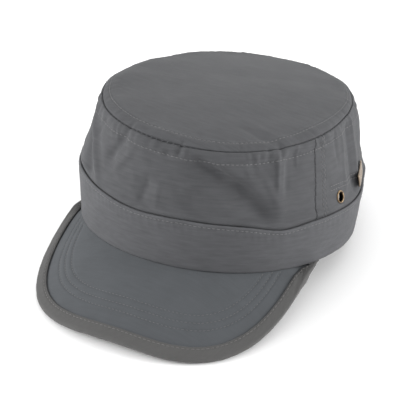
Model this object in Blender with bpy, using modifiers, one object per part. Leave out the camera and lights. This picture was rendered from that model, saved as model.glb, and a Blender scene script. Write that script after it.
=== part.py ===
"""A flat-topped patrol cap of thin cotton cloth, lying on a table.

The cap is worked out in its own frame, with +Z up through the crown, the peak towards -Y
and z = 0 at the lower edge of the band. Angles run round the crown from the middle of the
front, 0, over the wearer's left side, +X, to the middle of the back, 180. Everything hangs
on one empty, which leans the cap back until the peak's edge and the back of the band both
touch the table, z = 0 of the world. Metres and degrees throughout.
"""

import math

import bmesh
import bpy
from mathutils import Matrix, Vector

# Cloth, thread and clearances
CLOTH = 0.0012  # crown wall and top, cloth with its backing
BAND_CLOTH = 0.0016  # the band is the same cloth folded double
GAP = 0.0003  # between pieces that touch
SEAM_GAP = 0.0008  # the groove where two panels of the crown are sewn edge to edge
TABLE_PRESS = 0.0008  # how far the back of the band is flattened by the table

# Crown: an oval wall under a smaller oval top
BROW_HALF_WIDTH = 0.0887  # outside of the band at its lower edge
BROW_HALF_LENGTH = 0.1011
BROW_SQUARENESS = 2.08  # power of the oval: 2 is an ellipse, more is squarer
FRONT_FULLNESS = 0.045  # how much wider the front of the brow is than its back
TOP_HALF_WIDTH = 0.0730  # seam of the top
TOP_HALF_LENGTH = 0.0945
TOP_SQUARENESS = 2.16
TOP_FORWARD = 0.0040  # the top sits this far in front of the brow's middle
FRONT_HEIGHT = 0.0762  # seam of the top above the band's lower edge
BACK_HEIGHT = 0.0803
HEM_LIFT = 0.0010  # the wall's own lower edge, hidden behind the band
SIDE_SEAM_ANGLE = 55.5  # where the front and the back panel of the wall meet, at its hem
SIDE_SEAM_LEAN = 14.0  # and how much further back they meet at the top

# The rounded turn between wall and top, a quarter of an ellipse with the seam part way up
TURN_IN = 0.0110
TURN_UP = 0.0085
TURN_SEAM_ANGLE = 38.0
TURN_FOLD_FADE = 50.0  # the wall's folds are gone by here
TURN_DROP = 0.95  # the turn starts this share of its rise below the seam, along the wall
TOP_TURN_SHARE = 0.16  # share of the way to the middle that the turn takes of the top
TOP_DOME = 0.0030

# Band
BAND_HEIGHT = 0.0311
BAND_FLARE = 0.0021  # the band's upper edge stands this much wider than its lower edge
BAND_DIP = 0.0030  # the band's upper edge is lower on the wearer's left, higher on the right

# Peak, measured over the cloth bound round its edge
PEAK_HALF_WIDTH = 0.0836
PEAK_REACH = 0.0989  # from its widest line forwards to the tip
PEAK_WIDEST = 0.0469  # that line is this far in front of the brow's middle
PEAK_SQUARENESS = 2.74
PEAK_THICKNESS = 0.0020
PEAK_SLOPE = 0.695  # fall for each metre forwards
PEAK_ARCH = 0.3461  # fall to the sides, as a share of x squared over the half width
PEAK_ARCH_EASE = 0.0773  # how much of that share goes for each half width forwards
PEAK_LEVEL_BACK = 0.050  # it stops rising this far behind the front of the brow
PEAK_LEVEL_BLEND = 0.010  # length over which it does so
PEAK_END_BLEND = 0.0020  # depth over which its ends level out under the band
PEAK_END_FAR = 0.0140  # they start to where the rim is this far outside the band's face
PEAK_END_NEAR = 0.0030  # and are level where it is this far outside
PEAK_TUCK = 0.0036  # how far the peak's root runs in under the band
BINDING_WIDTH = 0.0062  # on top of the board, from its edge
BINDING_CLOTH = 0.0010
BINDING_GAP = 0.0006  # between the board and the binding, which can't follow every bend
BINDING_TURN = 0.0006  # more room at the turn of the cloth round the board's edge
BINDING_FLAP = 0.35  # share of the binding's section that each flap takes
BINDING_LEAST = 0.35  # its inner edge comes no nearer to the band than this share of the board

# Metal: an eyelet in each side, and a plain pierced bar on the wearer's left
EYELET_RADIUS = 0.0040
EYELET_HOLE_RADIUS = 0.0030
EYELET_WALL = 0.0004  # thickness of the barrel
EYELET_LIP = 0.0007  # height of each rolled flange
EYELET_ANGLE = 76.5
EYELET_RISE = 0.0080  # above the band's upper edge
BADGE_LENGTH = 0.0270
BADGE_HEIGHT = 0.0085
BADGE_THICKNESS = 0.0012
BADGE_CORNER = 0.0018
BADGE_SLOTS = 3
BADGE_SLOT_WIDTH = 0.0022
BADGE_SLOT_HEIGHT = 0.0044
BADGE_ANGLE = 97.0
BADGE_RISE = 0.0110
BADGE_STAND_OFF = 0.0010  # the wall is not quite even behind the flat bar

# Where the band's upper edge sags, or stands up where the depth is below zero
BROW_DENTS = (
    # angle, half width in degrees, depth as a share of the brow's half width
    (108.0, 14.0, 0.034),
)
BAND_SAGS = (
    # (angle, half width in degrees, depth as a share of the band's height)
    (-46.0, 12.0, -0.051),
    (-8.0, 14.0, 0.064),
    (47.0, 9.0, 0.096),
)

# How the soft top is pulled out of shape: waves round the seam, with the share of the
# seam's radius that each adds, and the share of the crown's height that it lifts it by
RIM_WAVES = (
    # (waves round, spread as cosine, spread as sine, lift as cosine, lift as sine)
    (1, 0.0, 0.0, 0.0, -0.050),
    (2, 0.0, 0.0054, -0.020, -0.020),
    (3, -0.0086, -0.0117, 0.0, 0.0),
)

# Folds of the wall: a ridge or valley along a line from (angle, height) to (angle, height).
# Heights go from the band's upper edge, 0, to the top's seam, 1, and the half width and the
# depth outwards are shares of that height
FOLD_FADE = 0.25  # beyond each end, as a share of the line's length
FOLD_START = 0.12  # height by which the folds reach their depth above the band
WALL_FOLDS = (
    # (angle 1, height 1, angle 2, height 2, half width, depth outwards)
    (-56.0, 0.85, -36.0, 0.05, 0.13, -0.031),
    (-46.0, 0.85, -27.0, 0.05, 0.13, 0.027),
    (-17.0, 0.86, -26.0, 0.40, 0.13, -0.031),
    (-5.0, 0.40, -6.0, 0.00, 0.18, -0.027),
    (14.0, 0.35, 17.0, 0.00, 0.18, -0.027),
    (17.0, 0.80, 42.0, 0.08, 0.19, -0.067),
    (24.0, 0.90, 44.0, 0.42, 0.18, 0.022),
    (53.0, 0.95, 47.0, 0.20, 0.13, 0.040),
    (58.0, 0.95, 55.0, 0.60, 0.13, -0.031),
    (93.0, 0.92, 86.5, 0.00, 0.13, -0.027),
    (101.0, 0.90, 95.0, 0.10, 0.14, 0.022),
    (113.0, 0.95, 106.0, 0.45, 0.22, 0.045),
    (140.0, 0.90, 128.0, 0.20, 0.18, -0.036),
    (196.0, 0.85, 208.0, 0.15, 0.20, -0.036),
    (238.0, 0.90, 232.0, 0.25, 0.16, 0.031),
)

# How finely each sheet is cut up
ROUND_STEPS = 84
FRONT_STEPS = 30
WALL_STEPS = 7  # up the wall from the band's edge to the turn
WALL_TURN_STEPS = 3
TOP_TURN_STEPS = 4
TOP_STEPS = 3
BAND_STEPS = 2
PEAK_STEPS = 44
PEAK_ROWS = 6
OUTLINE_STEPS = 200
TURNED_STEPS = 16
HALVINGS = 24
RIM_STEP = 0.02  # share of the board beside its rim that gives the direction outwards
BINDING_TURN_ROWS = (0.425, 0.5, 0.575)
BINDING_ROWS = (
    (0, BINDING_FLAP / 2, BINDING_FLAP)
    + BINDING_TURN_ROWS
    + (1 - BINDING_FLAP, 1 - BINDING_FLAP / 2, 1)
)

CLOTH_GREY = (0.135, 0.138, 0.142, 1.0)
PEAK_GREY = (0.118, 0.126, 0.130, 1.0)
BINDING_GREY = (0.140, 0.134, 0.128, 1.0)
BRASS = (0.46, 0.34, 0.23, 1.0)

# Shares of the wall's height that follow from the sizes
WALL_BAND_SHARE = BAND_HEIGHT / FRONT_HEIGHT
WALL_TURN_SHARE = 1 - TURN_UP * TURN_DROP / FRONT_HEIGHT
TURN_HEIGHT_SHARE = (WALL_TURN_SHARE - WALL_BAND_SHARE) / (1 - WALL_BAND_SHARE)


def smooth(share):
    """Rises from 0 to 1 with level ends."""
    share = min(1.0, max(0.0, share))
    return share * share * (3 - 2 * share)


def mix(first, second, share):
    return first * (1 - share) + second * share


def oval(angle, half_width, half_length, power, fullness=0.0, spread=1.0):
    """Point of a squarish oval in plan: |x/w|^p + |y/l|^p = 1, a little wider at the front."""
    across, ahead = math.sin(math.radians(angle)), math.cos(math.radians(angle))
    reach = spread * (abs(across) ** power + abs(ahead) ** power) ** (-1 / power)
    return Vector(
        (half_width * reach * across * (1 + fullness * reach * ahead), -half_length * reach * ahead, 0)
    )


def brow_oval(angle, outwards):
    spread = 1.0
    for middle, half_width, depth in BROW_DENTS:
        around = (angle - middle + 180) % 360 - 180
        spread -= depth * math.exp(-((around / half_width) ** 2))
    return oval(
        angle,
        BROW_HALF_WIDTH + outwards,
        BROW_HALF_LENGTH + outwards,
        BROW_SQUARENESS,
        FRONT_FULLNESS,
        spread,
    )


def rim_waves(angle):
    """Spread of the top's seam as a factor, and its lift in metres."""
    spread, lift = 1.0, 0.0
    for turns, spread_cos, spread_sin, lift_cos, lift_sin in RIM_WAVES:
        cosine, sine = math.cos(math.radians(turns * angle)), math.sin(math.radians(turns * angle))
        spread += spread_cos * cosine + spread_sin * sine
        lift += (lift_cos * cosine + lift_sin * sine) * FRONT_HEIGHT
    return spread, lift


def rim_point(angle, inwards, upwards):
    """Point beside the seam of the top, moved inwards and upwards from it."""
    spread, lift = rim_waves(angle)
    point = oval(
        angle,
        TOP_HALF_WIDTH - inwards,
        TOP_HALF_LENGTH - inwards,
        TOP_SQUARENESS,
        spread=spread,
    )
    back_share = 0.5 + point.y / (2 * TOP_HALF_LENGTH)
    point.z = mix(FRONT_HEIGHT, BACK_HEIGHT, back_share) + lift + upwards
    point.y -= TOP_FORWARD
    return point


def turn_point(angle, turned):
    """Point of the rounded turn between wall and top: turned is 0 on the wall, 90 on the top.
    The wall's folds run into it and fade before it levels."""
    seam, here = math.radians(TURN_SEAM_ANGLE), math.radians(turned)
    inwards = TURN_IN * (math.cos(seam) - math.cos(here))
    upwards = TURN_UP * (math.sin(here) - math.sin(seam))
    height = mix(TURN_HEIGHT_SHARE, 1, min(1.0, turned / TURN_SEAM_ANGLE))
    point = rim_point(angle, inwards, upwards)
    return pushed_out(point, fold_depth(angle, height) * (1 - smooth(turned / TURN_FOLD_FADE)))


def pushed_out(point, depth):
    return point + Vector((point.x, point.y, 0)).normalized() * depth


def band_top_height(angle):
    height = BAND_HEIGHT - BAND_DIP * math.sin(math.radians(angle))
    for middle, half_width, depth in BAND_SAGS:
        around = (angle - middle + 180) % 360 - 180
        height -= depth * BAND_HEIGHT * math.exp(-((around / half_width) ** 2))
    return height


def fold_depth(angle, height):
    """Sum of the folds at a point of the wall: each has a bell-shaped section and fading ends."""
    depth = 0.0
    scale = math.radians(1) * BROW_HALF_LENGTH
    tall = FRONT_HEIGHT - BAND_HEIGHT
    for angle_1, height_1, angle_2, height_2, half_width, out in WALL_FOLDS:
        around = (angle - angle_1 + 180) % 360 - 180
        start = Vector((around * scale, (height - height_1) * tall))
        line = Vector(((angle_2 - angle_1) * scale, (height_2 - height_1) * tall))
        along = start.dot(line) / line.length_squared
        beside = (start - line * along).length
        start_fade = smooth((along + FOLD_FADE) / (2 * FOLD_FADE))
        ends = start_fade * smooth((1 + FOLD_FADE - along) / (2 * FOLD_FADE))
        depth += out * tall * ends * math.exp(-((beside / (half_width * tall)) ** 2))
    return depth


def wall_point(angle, share):
    """Outer face of the crown wall: 0 at its hem, WALL_BAND_SHARE at the band's upper edge,
    WALL_TURN_SHARE where the turn starts, and 1 at the top's seam."""
    if share <= WALL_BAND_SHARE:
        rise = share / WALL_BAND_SHARE
        point = brow_oval(angle, BAND_FLARE * rise - BAND_CLOTH - GAP)
        point.z = mix(HEM_LIFT, band_top_height(angle), rise)
        return point
    if share > WALL_TURN_SHARE:
        rise = (share - WALL_TURN_SHARE) / (1 - WALL_TURN_SHARE)
        return turn_point(angle, TURN_SEAM_ANGLE * rise)
    edge = brow_oval(angle, BAND_FLARE - BAND_CLOTH - GAP)
    edge.z = band_top_height(angle)
    rise = (share - WALL_BAND_SHARE) / (WALL_TURN_SHARE - WALL_BAND_SHARE)
    height = rise * TURN_HEIGHT_SHARE
    shoulder = turn_point(angle, 0)
    depth = fold_depth(angle, height) * smooth(height / FOLD_START)
    return pushed_out(mix(edge, pushed_out(shoulder, -fold_depth(angle, TURN_HEIGHT_SHARE)), rise), depth)


def top_point(angle, share):
    """Outer face of the top: share 0 at the seam, TOP_TURN_SHARE where it levels, 1 in the middle."""
    if share < TOP_TURN_SHARE:
        turned = mix(TURN_SEAM_ANGLE, 90, share / TOP_TURN_SHARE)
        return turn_point(angle, turned)
    outer = turn_point(angle, 90)
    near = 1 - (share - TOP_TURN_SHARE) / (1 - TOP_TURN_SHARE)
    middle = Vector((0, -TOP_FORWARD, 0))
    point = mix(middle, Vector((outer.x, outer.y, 0)), near)
    back_share = 0.5 + (point.y + TOP_FORWARD) / (2 * TOP_HALF_LENGTH)
    level = mix(FRONT_HEIGHT, BACK_HEIGHT, back_share) + TURN_UP * (
        1 - math.sin(math.radians(TURN_SEAM_ANGLE))
    )
    point.z = level + rim_waves(angle)[1] * near**2 + TOP_DOME * (1 - near**2)
    return point


def peak_plan(turned):
    """Plan of the board's rim: 0 at the tip, 90 where the peak is widest on the wearer's left."""
    bound = BINDING_GAP + BINDING_CLOTH
    sine, cosine = math.sin(math.radians(turned)), math.cos(math.radians(turned))
    across = math.copysign(abs(sine) ** (2 / PEAK_SQUARENESS), sine)
    ahead = math.copysign(abs(cosine) ** (2 / PEAK_SQUARENESS), cosine)
    return Vector(
        ((PEAK_HALF_WIDTH - bound) * across, -PEAK_WIDEST - (PEAK_REACH - bound) * ahead, 0)
    )


def brow_angle(point):
    """Angle of the brow's oval towards a point, in the terms of brow_oval."""
    return math.degrees(math.atan2(point.x / BROW_HALF_WIDTH, -point.y / BROW_HALF_LENGTH))


def beyond_band(point):
    """How far outside the band's face a point of the plan lies."""
    return point.length - brow_oval(brow_angle(point), 0).length


def plan_end():
    """Where on the plan, past its widest line, the rim and its binding hide under the band."""
    outside, inside = 45.0, 99.0
    for _ in range(HALVINGS):
        middle = (outside + inside) / 2
        if beyond_band(peak_plan(middle)) > -BAND_CLOTH:
            outside = middle
        else:
            inside = middle
    return outside


def even_turns(end):
    """Places round the plan, from -end to end, paired with the share of its length run."""
    turns = [end * (2 * i / OUTLINE_STEPS - 1) for i in range(OUTLINE_STEPS + 1)]
    points = [peak_plan(turned) for turned in turns]
    run = [0.0]
    for start, stop in zip(points, points[1:]):
        run.append(run[-1] + (stop - start).length)
    return [(2 * length / run[-1] - 1, turned) for length, turned in zip(run, turns)]


PLAN_TURNS = even_turns(plan_end())
END_ANGLE = brow_angle(peak_plan(PLAN_TURNS[-1][1]))


def rim_plan(share):
    """Plan of the rim at a share of its length, -1 and 1 at its ends and 0 at the tip."""
    place = 1
    while place < OUTLINE_STEPS and PLAN_TURNS[place][0] < share:
        place += 1
    (before, first), (after, second) = PLAN_TURNS[place - 1], PLAN_TURNS[place]
    return peak_plan(mix(first, second, (share - before) / (after - before)))


def peak_fall(point):
    """Height of the bent board: it falls forwards, and arches down to both sides."""
    beyond = -point.y - BROW_HALF_LENGTH
    ahead = beyond + PEAK_LEVEL_BACK
    beyond = (ahead + math.hypot(ahead, PEAK_LEVEL_BLEND)) / 2 - PEAK_LEVEL_BACK
    arch = PEAK_ARCH - PEAK_ARCH_EASE * beyond / PEAK_HALF_WIDTH
    return -PEAK_SLOPE * beyond - arch * point.x**2 / PEAK_HALF_WIDTH


def peak_point(share, outwards):
    """Upper face of the peak, share -1 to 1 from side to side. Outwards is 1 at the rim, 0
    where it bends under the band's edge and -1 at the hidden root. Both ends level out lower
    and run in further, to take the binding in under the band."""
    rim = rim_plan(share)
    end = smooth((PEAK_END_FAR - beyond_band(rim)) / (PEAK_END_FAR - PEAK_END_NEAR))
    end_level = -GAP - BINDING_GAP - BINDING_CLOTH
    level = mix(-GAP, end_level, end)
    hinge = brow_oval(END_ANGLE * share, -BAND_CLOTH / 2 - PEAK_TUCK * end)
    if outwards < 0:
        root = brow_oval(END_ANGLE * share, -PEAK_TUCK * (1 + end))
        point = mix(hinge, root, -outwards)
        point.z = level
        return point
    point = mix(hinge, rim, outwards)
    below = end_level - peak_fall(rim)
    rim_height = end_level - (below + math.hypot(below, PEAK_END_BLEND)) / 2
    lifted = mix(level - peak_fall(hinge), rim_height - peak_fall(rim), outwards)
    point.z = lifted + peak_fall(point)
    return point


RIM_SAMPLES = [peak_point(2 * i / PEAK_STEPS - 1, 1) for i in range(PEAK_STEPS + 1)]


def to_rim(point):
    """Distance from a point to the nearest stretch of the peak's rim."""
    nearest = math.inf
    for start, end in zip(RIM_SAMPLES, RIM_SAMPLES[1:]):
        line = end - start
        along = min(1.0, max(0.0, (point - start).dot(line) / line.length_squared))
        nearest = min(nearest, (point - start - line * along).length)
    return nearest


def peak_normal(share, outwards):
    step = 1e-3
    inner = min(outwards, 1 - step)
    across = peak_point(share + step, outwards) - peak_point(share - step, outwards)
    ahead = peak_point(share, inner + step) - peak_point(share, inner)
    normal = across.cross(ahead).normalized()
    return normal if normal.z > 0 else -normal


def binding_reach(share):
    """Place on the peak, 0 to 1 outwards, where the binding's inner edge lies. It keeps
    clear of the band's face until the ends, where there is room for it under the band."""
    inner, outer = BINDING_LEAST, 1.0
    runs_under = beyond_band(peak_point(share, 1)) < PEAK_END_NEAR
    for _ in range(HALVINGS):
        middle = (inner + outer) / 2
        point = peak_point(share, middle)
        covered = beyond_band(point) < BINDING_CLOTH and not runs_under
        if to_rim(point) > BINDING_WIDTH or covered:
            inner = middle
        else:
            outer = middle
    return inner


def binding_point(share, round_share):
    """Outer face of the binding: round_share 0 at its upper inner edge, BINDING_FLAP at the
    start of the turn round the rim, and 1 at its lower inner edge."""
    bound = BINDING_GAP + BINDING_CLOTH
    rim, normal = peak_point(share, 1), peak_normal(share, 1)
    half = PEAK_THICKNESS / 2
    if BINDING_FLAP <= round_share <= 1 - BINDING_FLAP:
        outwards = rim - peak_point(share, 1 - RIM_STEP)
        outwards = (outwards - normal * outwards.dot(normal)).normalized()
        turned = math.pi * (round_share - BINDING_FLAP) / (1 - 2 * BINDING_FLAP)
        up, out = (half + bound) * math.cos(turned), (bound + BINDING_TURN) * math.sin(turned)
        return rim + normal * (up - half) + outwards * out
    on_top = round_share < 0.5
    run = (round_share if on_top else 1 - round_share) / BINDING_FLAP
    place = mix(binding_reach(share), 1.0, run)
    lift = bound if on_top else -(PEAK_THICKNESS + bound)
    return peak_point(share, place) + peak_normal(share, place) * lift


def lean_and_lift():
    """Angle by which the cap leans back, and how far its frame then sits above the table."""
    steepest = 0.0
    for i in range(PEAK_STEPS + 1):
        for row in BINDING_ROWS[4:]:
            low = binding_point(2 * i / PEAK_STEPS - 1, row)
            away = Vector((BROW_HALF_LENGTH - low.y, -low.z))
            press = math.asin(TABLE_PRESS / away.length)
            steepest = max(steepest, math.atan2(away.y, away.x) + press)
    return steepest, BROW_HALF_LENGTH * math.sin(steepest) - TABLE_PRESS


LEAN, LIFT = lean_and_lift()


def table_height(y):
    """Height of the table in the cap's own frame, y metres behind the brow's middle."""
    return (y * math.sin(LEAN) - LIFT) / math.cos(LEAN)


def band_point(angle, share):
    """Outer face of the band, 0 at its lower edge and 1 at its upper."""
    point = brow_oval(angle, BAND_FLARE * share)
    point.z = band_top_height(angle) * share
    return point


def material(name, colour, roughness, metallic=0.0):
    made = bpy.data.materials.new(name)
    made.use_nodes = True
    shader = made.node_tree.nodes["Principled BSDF"]
    shader.inputs["Base Color"].default_value = colour
    shader.inputs["Roughness"].default_value = roughness
    shader.inputs["Metallic"].default_value = metallic
    return made


def add_object(name, data, finish, cap):
    made = bpy.data.objects.new(name, data)
    made.data.materials.append(finish)
    made.parent = cap
    cap.users_collection[0].objects.link(made)
    return made


def bent_sheet(name, shape, steps, finish, cap, thickness, offset=-1.0):
    """A flat grid bent by shape(u, v), u and v from 0 to 1, and thickened. The grid's own
    first side ends up facing away from the middle of the crown or, on the peak, upwards."""
    cells = bmesh.new()
    bmesh.ops.create_grid(cells, x_segments=steps[0], y_segments=steps[1], size=0.5)
    for vertex in cells.verts:
        vertex.co = shape(vertex.co.x + 0.5, vertex.co.y + 0.5)
    bmesh.ops.remove_doubles(cells, verts=cells.verts, dist=1e-6)
    cells.normal_update()
    middle = Vector((0, 0, table_height(0) - BROW_HALF_LENGTH))
    facing = sum(
        (face.calc_center_median() - middle).dot(face.normal) * face.calc_area()
        for face in cells.faces
    )
    if facing < 0:
        bmesh.ops.reverse_faces(cells, faces=cells.faces)
    mesh = bpy.data.meshes.new(name)
    cells.to_mesh(mesh)
    cells.free()
    mesh.shade_smooth()
    sheet = add_object(name, mesh, finish, cap)
    wall = sheet.modifiers.new("cloth", "SOLIDIFY")
    wall.thickness = thickness
    wall.offset = offset
    wall.use_even_offset = True
    wall.use_quality_normals = True
    return sheet


def build_top(finish, cap):
    first = TOP_TURN_SHARE * SEAM_GAP / (2 * TURN_IN)
    turn = [mix(first, TOP_TURN_SHARE, i / TOP_TURN_STEPS) for i in range(TOP_TURN_STEPS)]
    rows = turn + [mix(TOP_TURN_SHARE, 1, i / TOP_STEPS) for i in range(TOP_STEPS + 1)]

    def shape(u, v):
        return top_point(360 * u, rows[round(v * (len(rows) - 1))])

    return bent_sheet("crown_top", shape, (ROUND_STEPS, len(rows) - 1), finish, cap, CLOTH)


def build_wall(finish, cap):
    """Front and back panel of the crown wall, which meet at a seam on each side."""
    last_row = 1 - SEAM_GAP / (2 * FRONT_HEIGHT)
    rows = [0, WALL_BAND_SHARE / 2]
    rows += [mix(WALL_BAND_SHARE, WALL_TURN_SHARE, i / WALL_STEPS) for i in range(WALL_STEPS)]
    rows += [
        mix(WALL_TURN_SHARE, last_row, i / WALL_TURN_STEPS) for i in range(WALL_TURN_STEPS + 1)
    ]
    half_gap = math.degrees(SEAM_GAP / 2 / BROW_HALF_WIDTH)

    def panel(from_seam, to_seam, offset):
        def shape(u, v):
            row = rows[round(v * (len(rows) - 1))]
            seam = SIDE_SEAM_ANGLE + SIDE_SEAM_LEAN * row + offset
            return wall_point(mix(from_seam(seam), to_seam(seam), u), row)

        return shape

    up = len(rows) - 1
    front = panel(lambda seam: -seam, lambda seam: seam, -half_gap)
    back = panel(lambda seam: seam, lambda seam: 360 - seam, half_gap)
    back_steps = ROUND_STEPS - FRONT_STEPS
    return (
        bent_sheet("crown_front", front, (FRONT_STEPS, up), finish, cap, CLOTH),
        bent_sheet("crown_back", back, (back_steps, up), finish, cap, CLOTH),
    )


def build_band(finish, cap):
    """The band, cut level with the table where the back of the cap rests on it."""

    def shape(u, v):
        return band_point(360 * u, v)

    band = bent_sheet("band", shape, (ROUND_STEPS, BAND_STEPS), finish, cap, BAND_CLOTH)
    slab = bmesh.new()
    bmesh.ops.create_cube(slab, size=BROW_HALF_LENGTH)
    below = Matrix.Translation((0, 0, -LIFT - BROW_HALF_LENGTH / 2))
    back = Matrix.Translation((0, BROW_HALF_LENGTH, 0))
    cutter = add_cutter("table_cut", slab, Matrix.Rotation(LEAN, 4, "X") @ below @ back, cap)
    cut_away(band, cutter)
    return band


def build_peak(finish, cap):
    """The board, its last rows as far apart as the binding's so that they lie flat together."""
    inner = PEAK_ROWS - 3

    def shape(u, v):
        row = round(v * PEAK_ROWS) - 1
        share = 2 * u - 1
        if row < 0:
            return peak_point(share, -1)
        reach = binding_reach(share)
        place = reach * row / inner if row < inner else mix(reach, 1, (row - inner) / 2)
        return peak_point(share, place)

    return bent_sheet("peak", shape, (PEAK_STEPS, PEAK_ROWS), finish, cap, PEAK_THICKNESS)


def build_binding(finish, cap):
    """Cloth folded round the rim of the peak: a flap above, a turn and a flap below."""
    rows = len(BINDING_ROWS) - 1

    def shape(u, v):
        return binding_point(2 * u - 1, BINDING_ROWS[round(v * rows)])

    return bent_sheet("peak_binding", shape, (PEAK_STEPS, rows), finish, cap, BINDING_CLOTH)


def wall_share_above_band(angle, rise):
    """Share of the wall's height at a point this far above the band's upper edge."""
    low, high = WALL_BAND_SHARE, WALL_TURN_SHARE
    tall = (wall_point(angle, high) - wall_point(angle, low)).length
    return low + (high - low) * rise / tall


def wall_frame(angle, rise):
    """Placement on the wall's outer face, its Z straight out of the cloth and its X level."""
    share = wall_share_above_band(angle, rise)
    step = 0.5
    across = wall_point(angle + step, share) - wall_point(angle - step, share)
    up = wall_point(angle, share + 0.01) - wall_point(angle, share - 0.01)
    out = across.cross(up).normalized()
    level = across.normalized()
    rows = (level, out.cross(level), out)
    turned = Matrix([list(column) for column in zip(*rows)]).to_4x4()
    return Matrix.Translation(wall_point(angle, share)) @ turned


def build_eyelet(name, angle, panel, finish, cap):
    """A turned eyelet through the wall, its two lips clamping the cloth, and the hole for it."""
    place = wall_frame(angle, EYELET_RISE)
    barrel = EYELET_HOLE_RADIUS + EYELET_WALL
    top, bottom = GAP + EYELET_LIP, -CLOTH - GAP - EYELET_LIP
    corner = EYELET_LIP * 0.4
    profile = (
        (EYELET_HOLE_RADIUS + corner, top),
        (EYELET_RADIUS - corner, top),
        (EYELET_RADIUS, top - corner),
        (EYELET_RADIUS, GAP),
        (barrel, GAP),
        (barrel, -CLOTH - GAP),
        (EYELET_RADIUS, -CLOTH - GAP),
        (EYELET_RADIUS, bottom + corner),
        (EYELET_RADIUS - corner, bottom),
        (EYELET_HOLE_RADIUS + corner, bottom),
        (EYELET_HOLE_RADIUS, bottom + corner),
        (EYELET_HOLE_RADIUS, top - corner),
    )
    outline = bmesh.new()
    points = [outline.verts.new((radius, 0, z)) for radius, z in profile]
    for start, end in zip(points, points[1:] + points[:1]):
        outline.edges.new((start, end))
    mesh = bpy.data.meshes.new(name)
    outline.to_mesh(mesh)
    outline.free()
    eyelet = add_object(name, mesh, finish, cap)
    eyelet.matrix_local = place
    turn = eyelet.modifiers.new("turned", "SCREW")
    turn.steps = turn.render_steps = TURNED_STEPS
    turn.use_merge_vertices = True
    turn.merge_threshold = 1e-5
    punch_hole(name + "_hole", place, barrel + GAP, panel, cap)
    return eyelet


def punch_hole(name, place, radius, panel, cap):
    """A round hole through a panel of the wall."""
    drill = bmesh.new()
    bmesh.ops.create_cone(
        drill,
        cap_ends=True,
        segments=TURNED_STEPS,
        radius1=radius,
        radius2=radius,
        depth=CLOTH * 6,
    )
    cut_away(panel, add_cutter(name, drill, place, cap))


def add_cutter(name, shape, place, cap):
    mesh = bpy.data.meshes.new(name)
    shape.to_mesh(mesh)
    shape.free()
    cutter = bpy.data.objects.new(name, mesh)
    cutter.parent = cap
    cutter.matrix_local = place
    cutter.hide_render = True
    cutter.display_type = "WIRE"
    collection("cutters").objects.link(cutter)
    return cutter


def cut_away(solid, cutter):
    cut = solid.modifiers.new(cutter.name, "BOOLEAN")
    cut.operation = "DIFFERENCE"
    cut.solver = "EXACT"
    cut.object = cutter


def rounded_box(spline_owner, centre_x, length, height, corner):
    """Closed outline with four rounded corners, added to a flat curve."""
    turns = 4
    points = []
    for side, (right, above) in enumerate(((1, 1), (-1, 1), (-1, -1), (1, -1))):
        middle = (centre_x + right * (length / 2 - corner), above * (height / 2 - corner))
        for step in range(turns + 1):
            angle = math.radians(90 * (side + step / turns))
            points.append(
                (middle[0] + corner * math.cos(angle), middle[1] + corner * math.sin(angle), 0, 1)
            )
    spline = spline_owner.splines.new("POLY")
    spline.points.add(len(points) - 1)
    for target, point in zip(spline.points, points):
        target.co = point
    spline.use_cyclic_u = True


def build_badge(finish, cap):
    """A flat metal bar with rounded corners and a row of upright slots, against the wall."""
    outline = bpy.data.curves.new("badge", "CURVE")
    outline.dimensions = "2D"
    outline.fill_mode = "BOTH"
    outline.extrude = BADGE_THICKNESS / 2
    rounded_box(outline, 0, BADGE_LENGTH, BADGE_HEIGHT, BADGE_CORNER)
    pitch = BADGE_LENGTH / (BADGE_SLOTS + 1)
    for i in range(BADGE_SLOTS):
        centre = pitch * (i + 1) - BADGE_LENGTH / 2
        rounded_box(outline, centre, BADGE_SLOT_WIDTH, BADGE_SLOT_HEIGHT, BADGE_SLOT_WIDTH * 0.45)
    badge = add_object("badge", outline, finish, cap)
    badge.matrix_local = wall_frame(BADGE_ANGLE, BADGE_RISE) @ Matrix.Translation(
        (0, 0, GAP + BADGE_THICKNESS / 2 + BADGE_STAND_OFF)
    )
    return badge


def collection(name):
    found = bpy.data.collections.get(name)
    if found is None:
        found = bpy.data.collections.new(name)
        bpy.context.scene.collection.children.link(found)
    return found


def cap_frame():
    """The empty that leans the cap back on its peak and centres it over the world's origin."""
    frame = bpy.data.objects.new("cap_frame", None)
    collection("patrol_cap").objects.link(frame)
    tip = binding_point(0, 0.5)
    back = band_point(180, 1)
    tilt = Matrix.Rotation(-LEAN, 4, "X")
    middle = ((tilt @ tip).y + (tilt @ back).y) / 2
    frame.matrix_world = Matrix.Translation((0, -middle, LIFT)) @ tilt
    return frame


def main():
    for old in list(bpy.data.objects):
        bpy.data.objects.remove(old)
    cap = cap_frame()
    cloth = material("grey_cloth", CLOTH_GREY, 0.8)
    peak_cloth = material("peak_cloth", PEAK_GREY, 0.75)
    binding_cloth = material("binding_cloth", BINDING_GREY, 0.85)
    brass = material("old_brass", BRASS, 0.35, 1.0)
    build_top(cloth, cap)
    _, back = build_wall(cloth, cap)
    build_band(cloth, cap)
    build_peak(peak_cloth, cap)
    build_binding(binding_cloth, cap)
    build_eyelet("eyelet_left", EYELET_ANGLE, back, brass, cap)
    build_eyelet("eyelet_right", 360 - EYELET_ANGLE, back, brass, cap)
    build_badge(brass, cap)


main()
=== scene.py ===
"""The looks of a flat-topped patrol cap of thin grey cotton, lying on a pale table.

The cap is worked out in its own frame, +Z up through the crown, the peak towards -Y and
z = 0 at the band's lower edge. Angles run round it in degrees: 0 is the middle of the front,
90 the wearer's left side and 180 the middle of the back. Lengths are metres. Each surface is
a grid of points, placed in the world at the end by the lean that the cap has on the table.
"""

import logging
import math
from dataclasses import dataclass, field
from enum import Enum

import bpy
import numpy as np
from mathutils import Matrix, Vector


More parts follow.
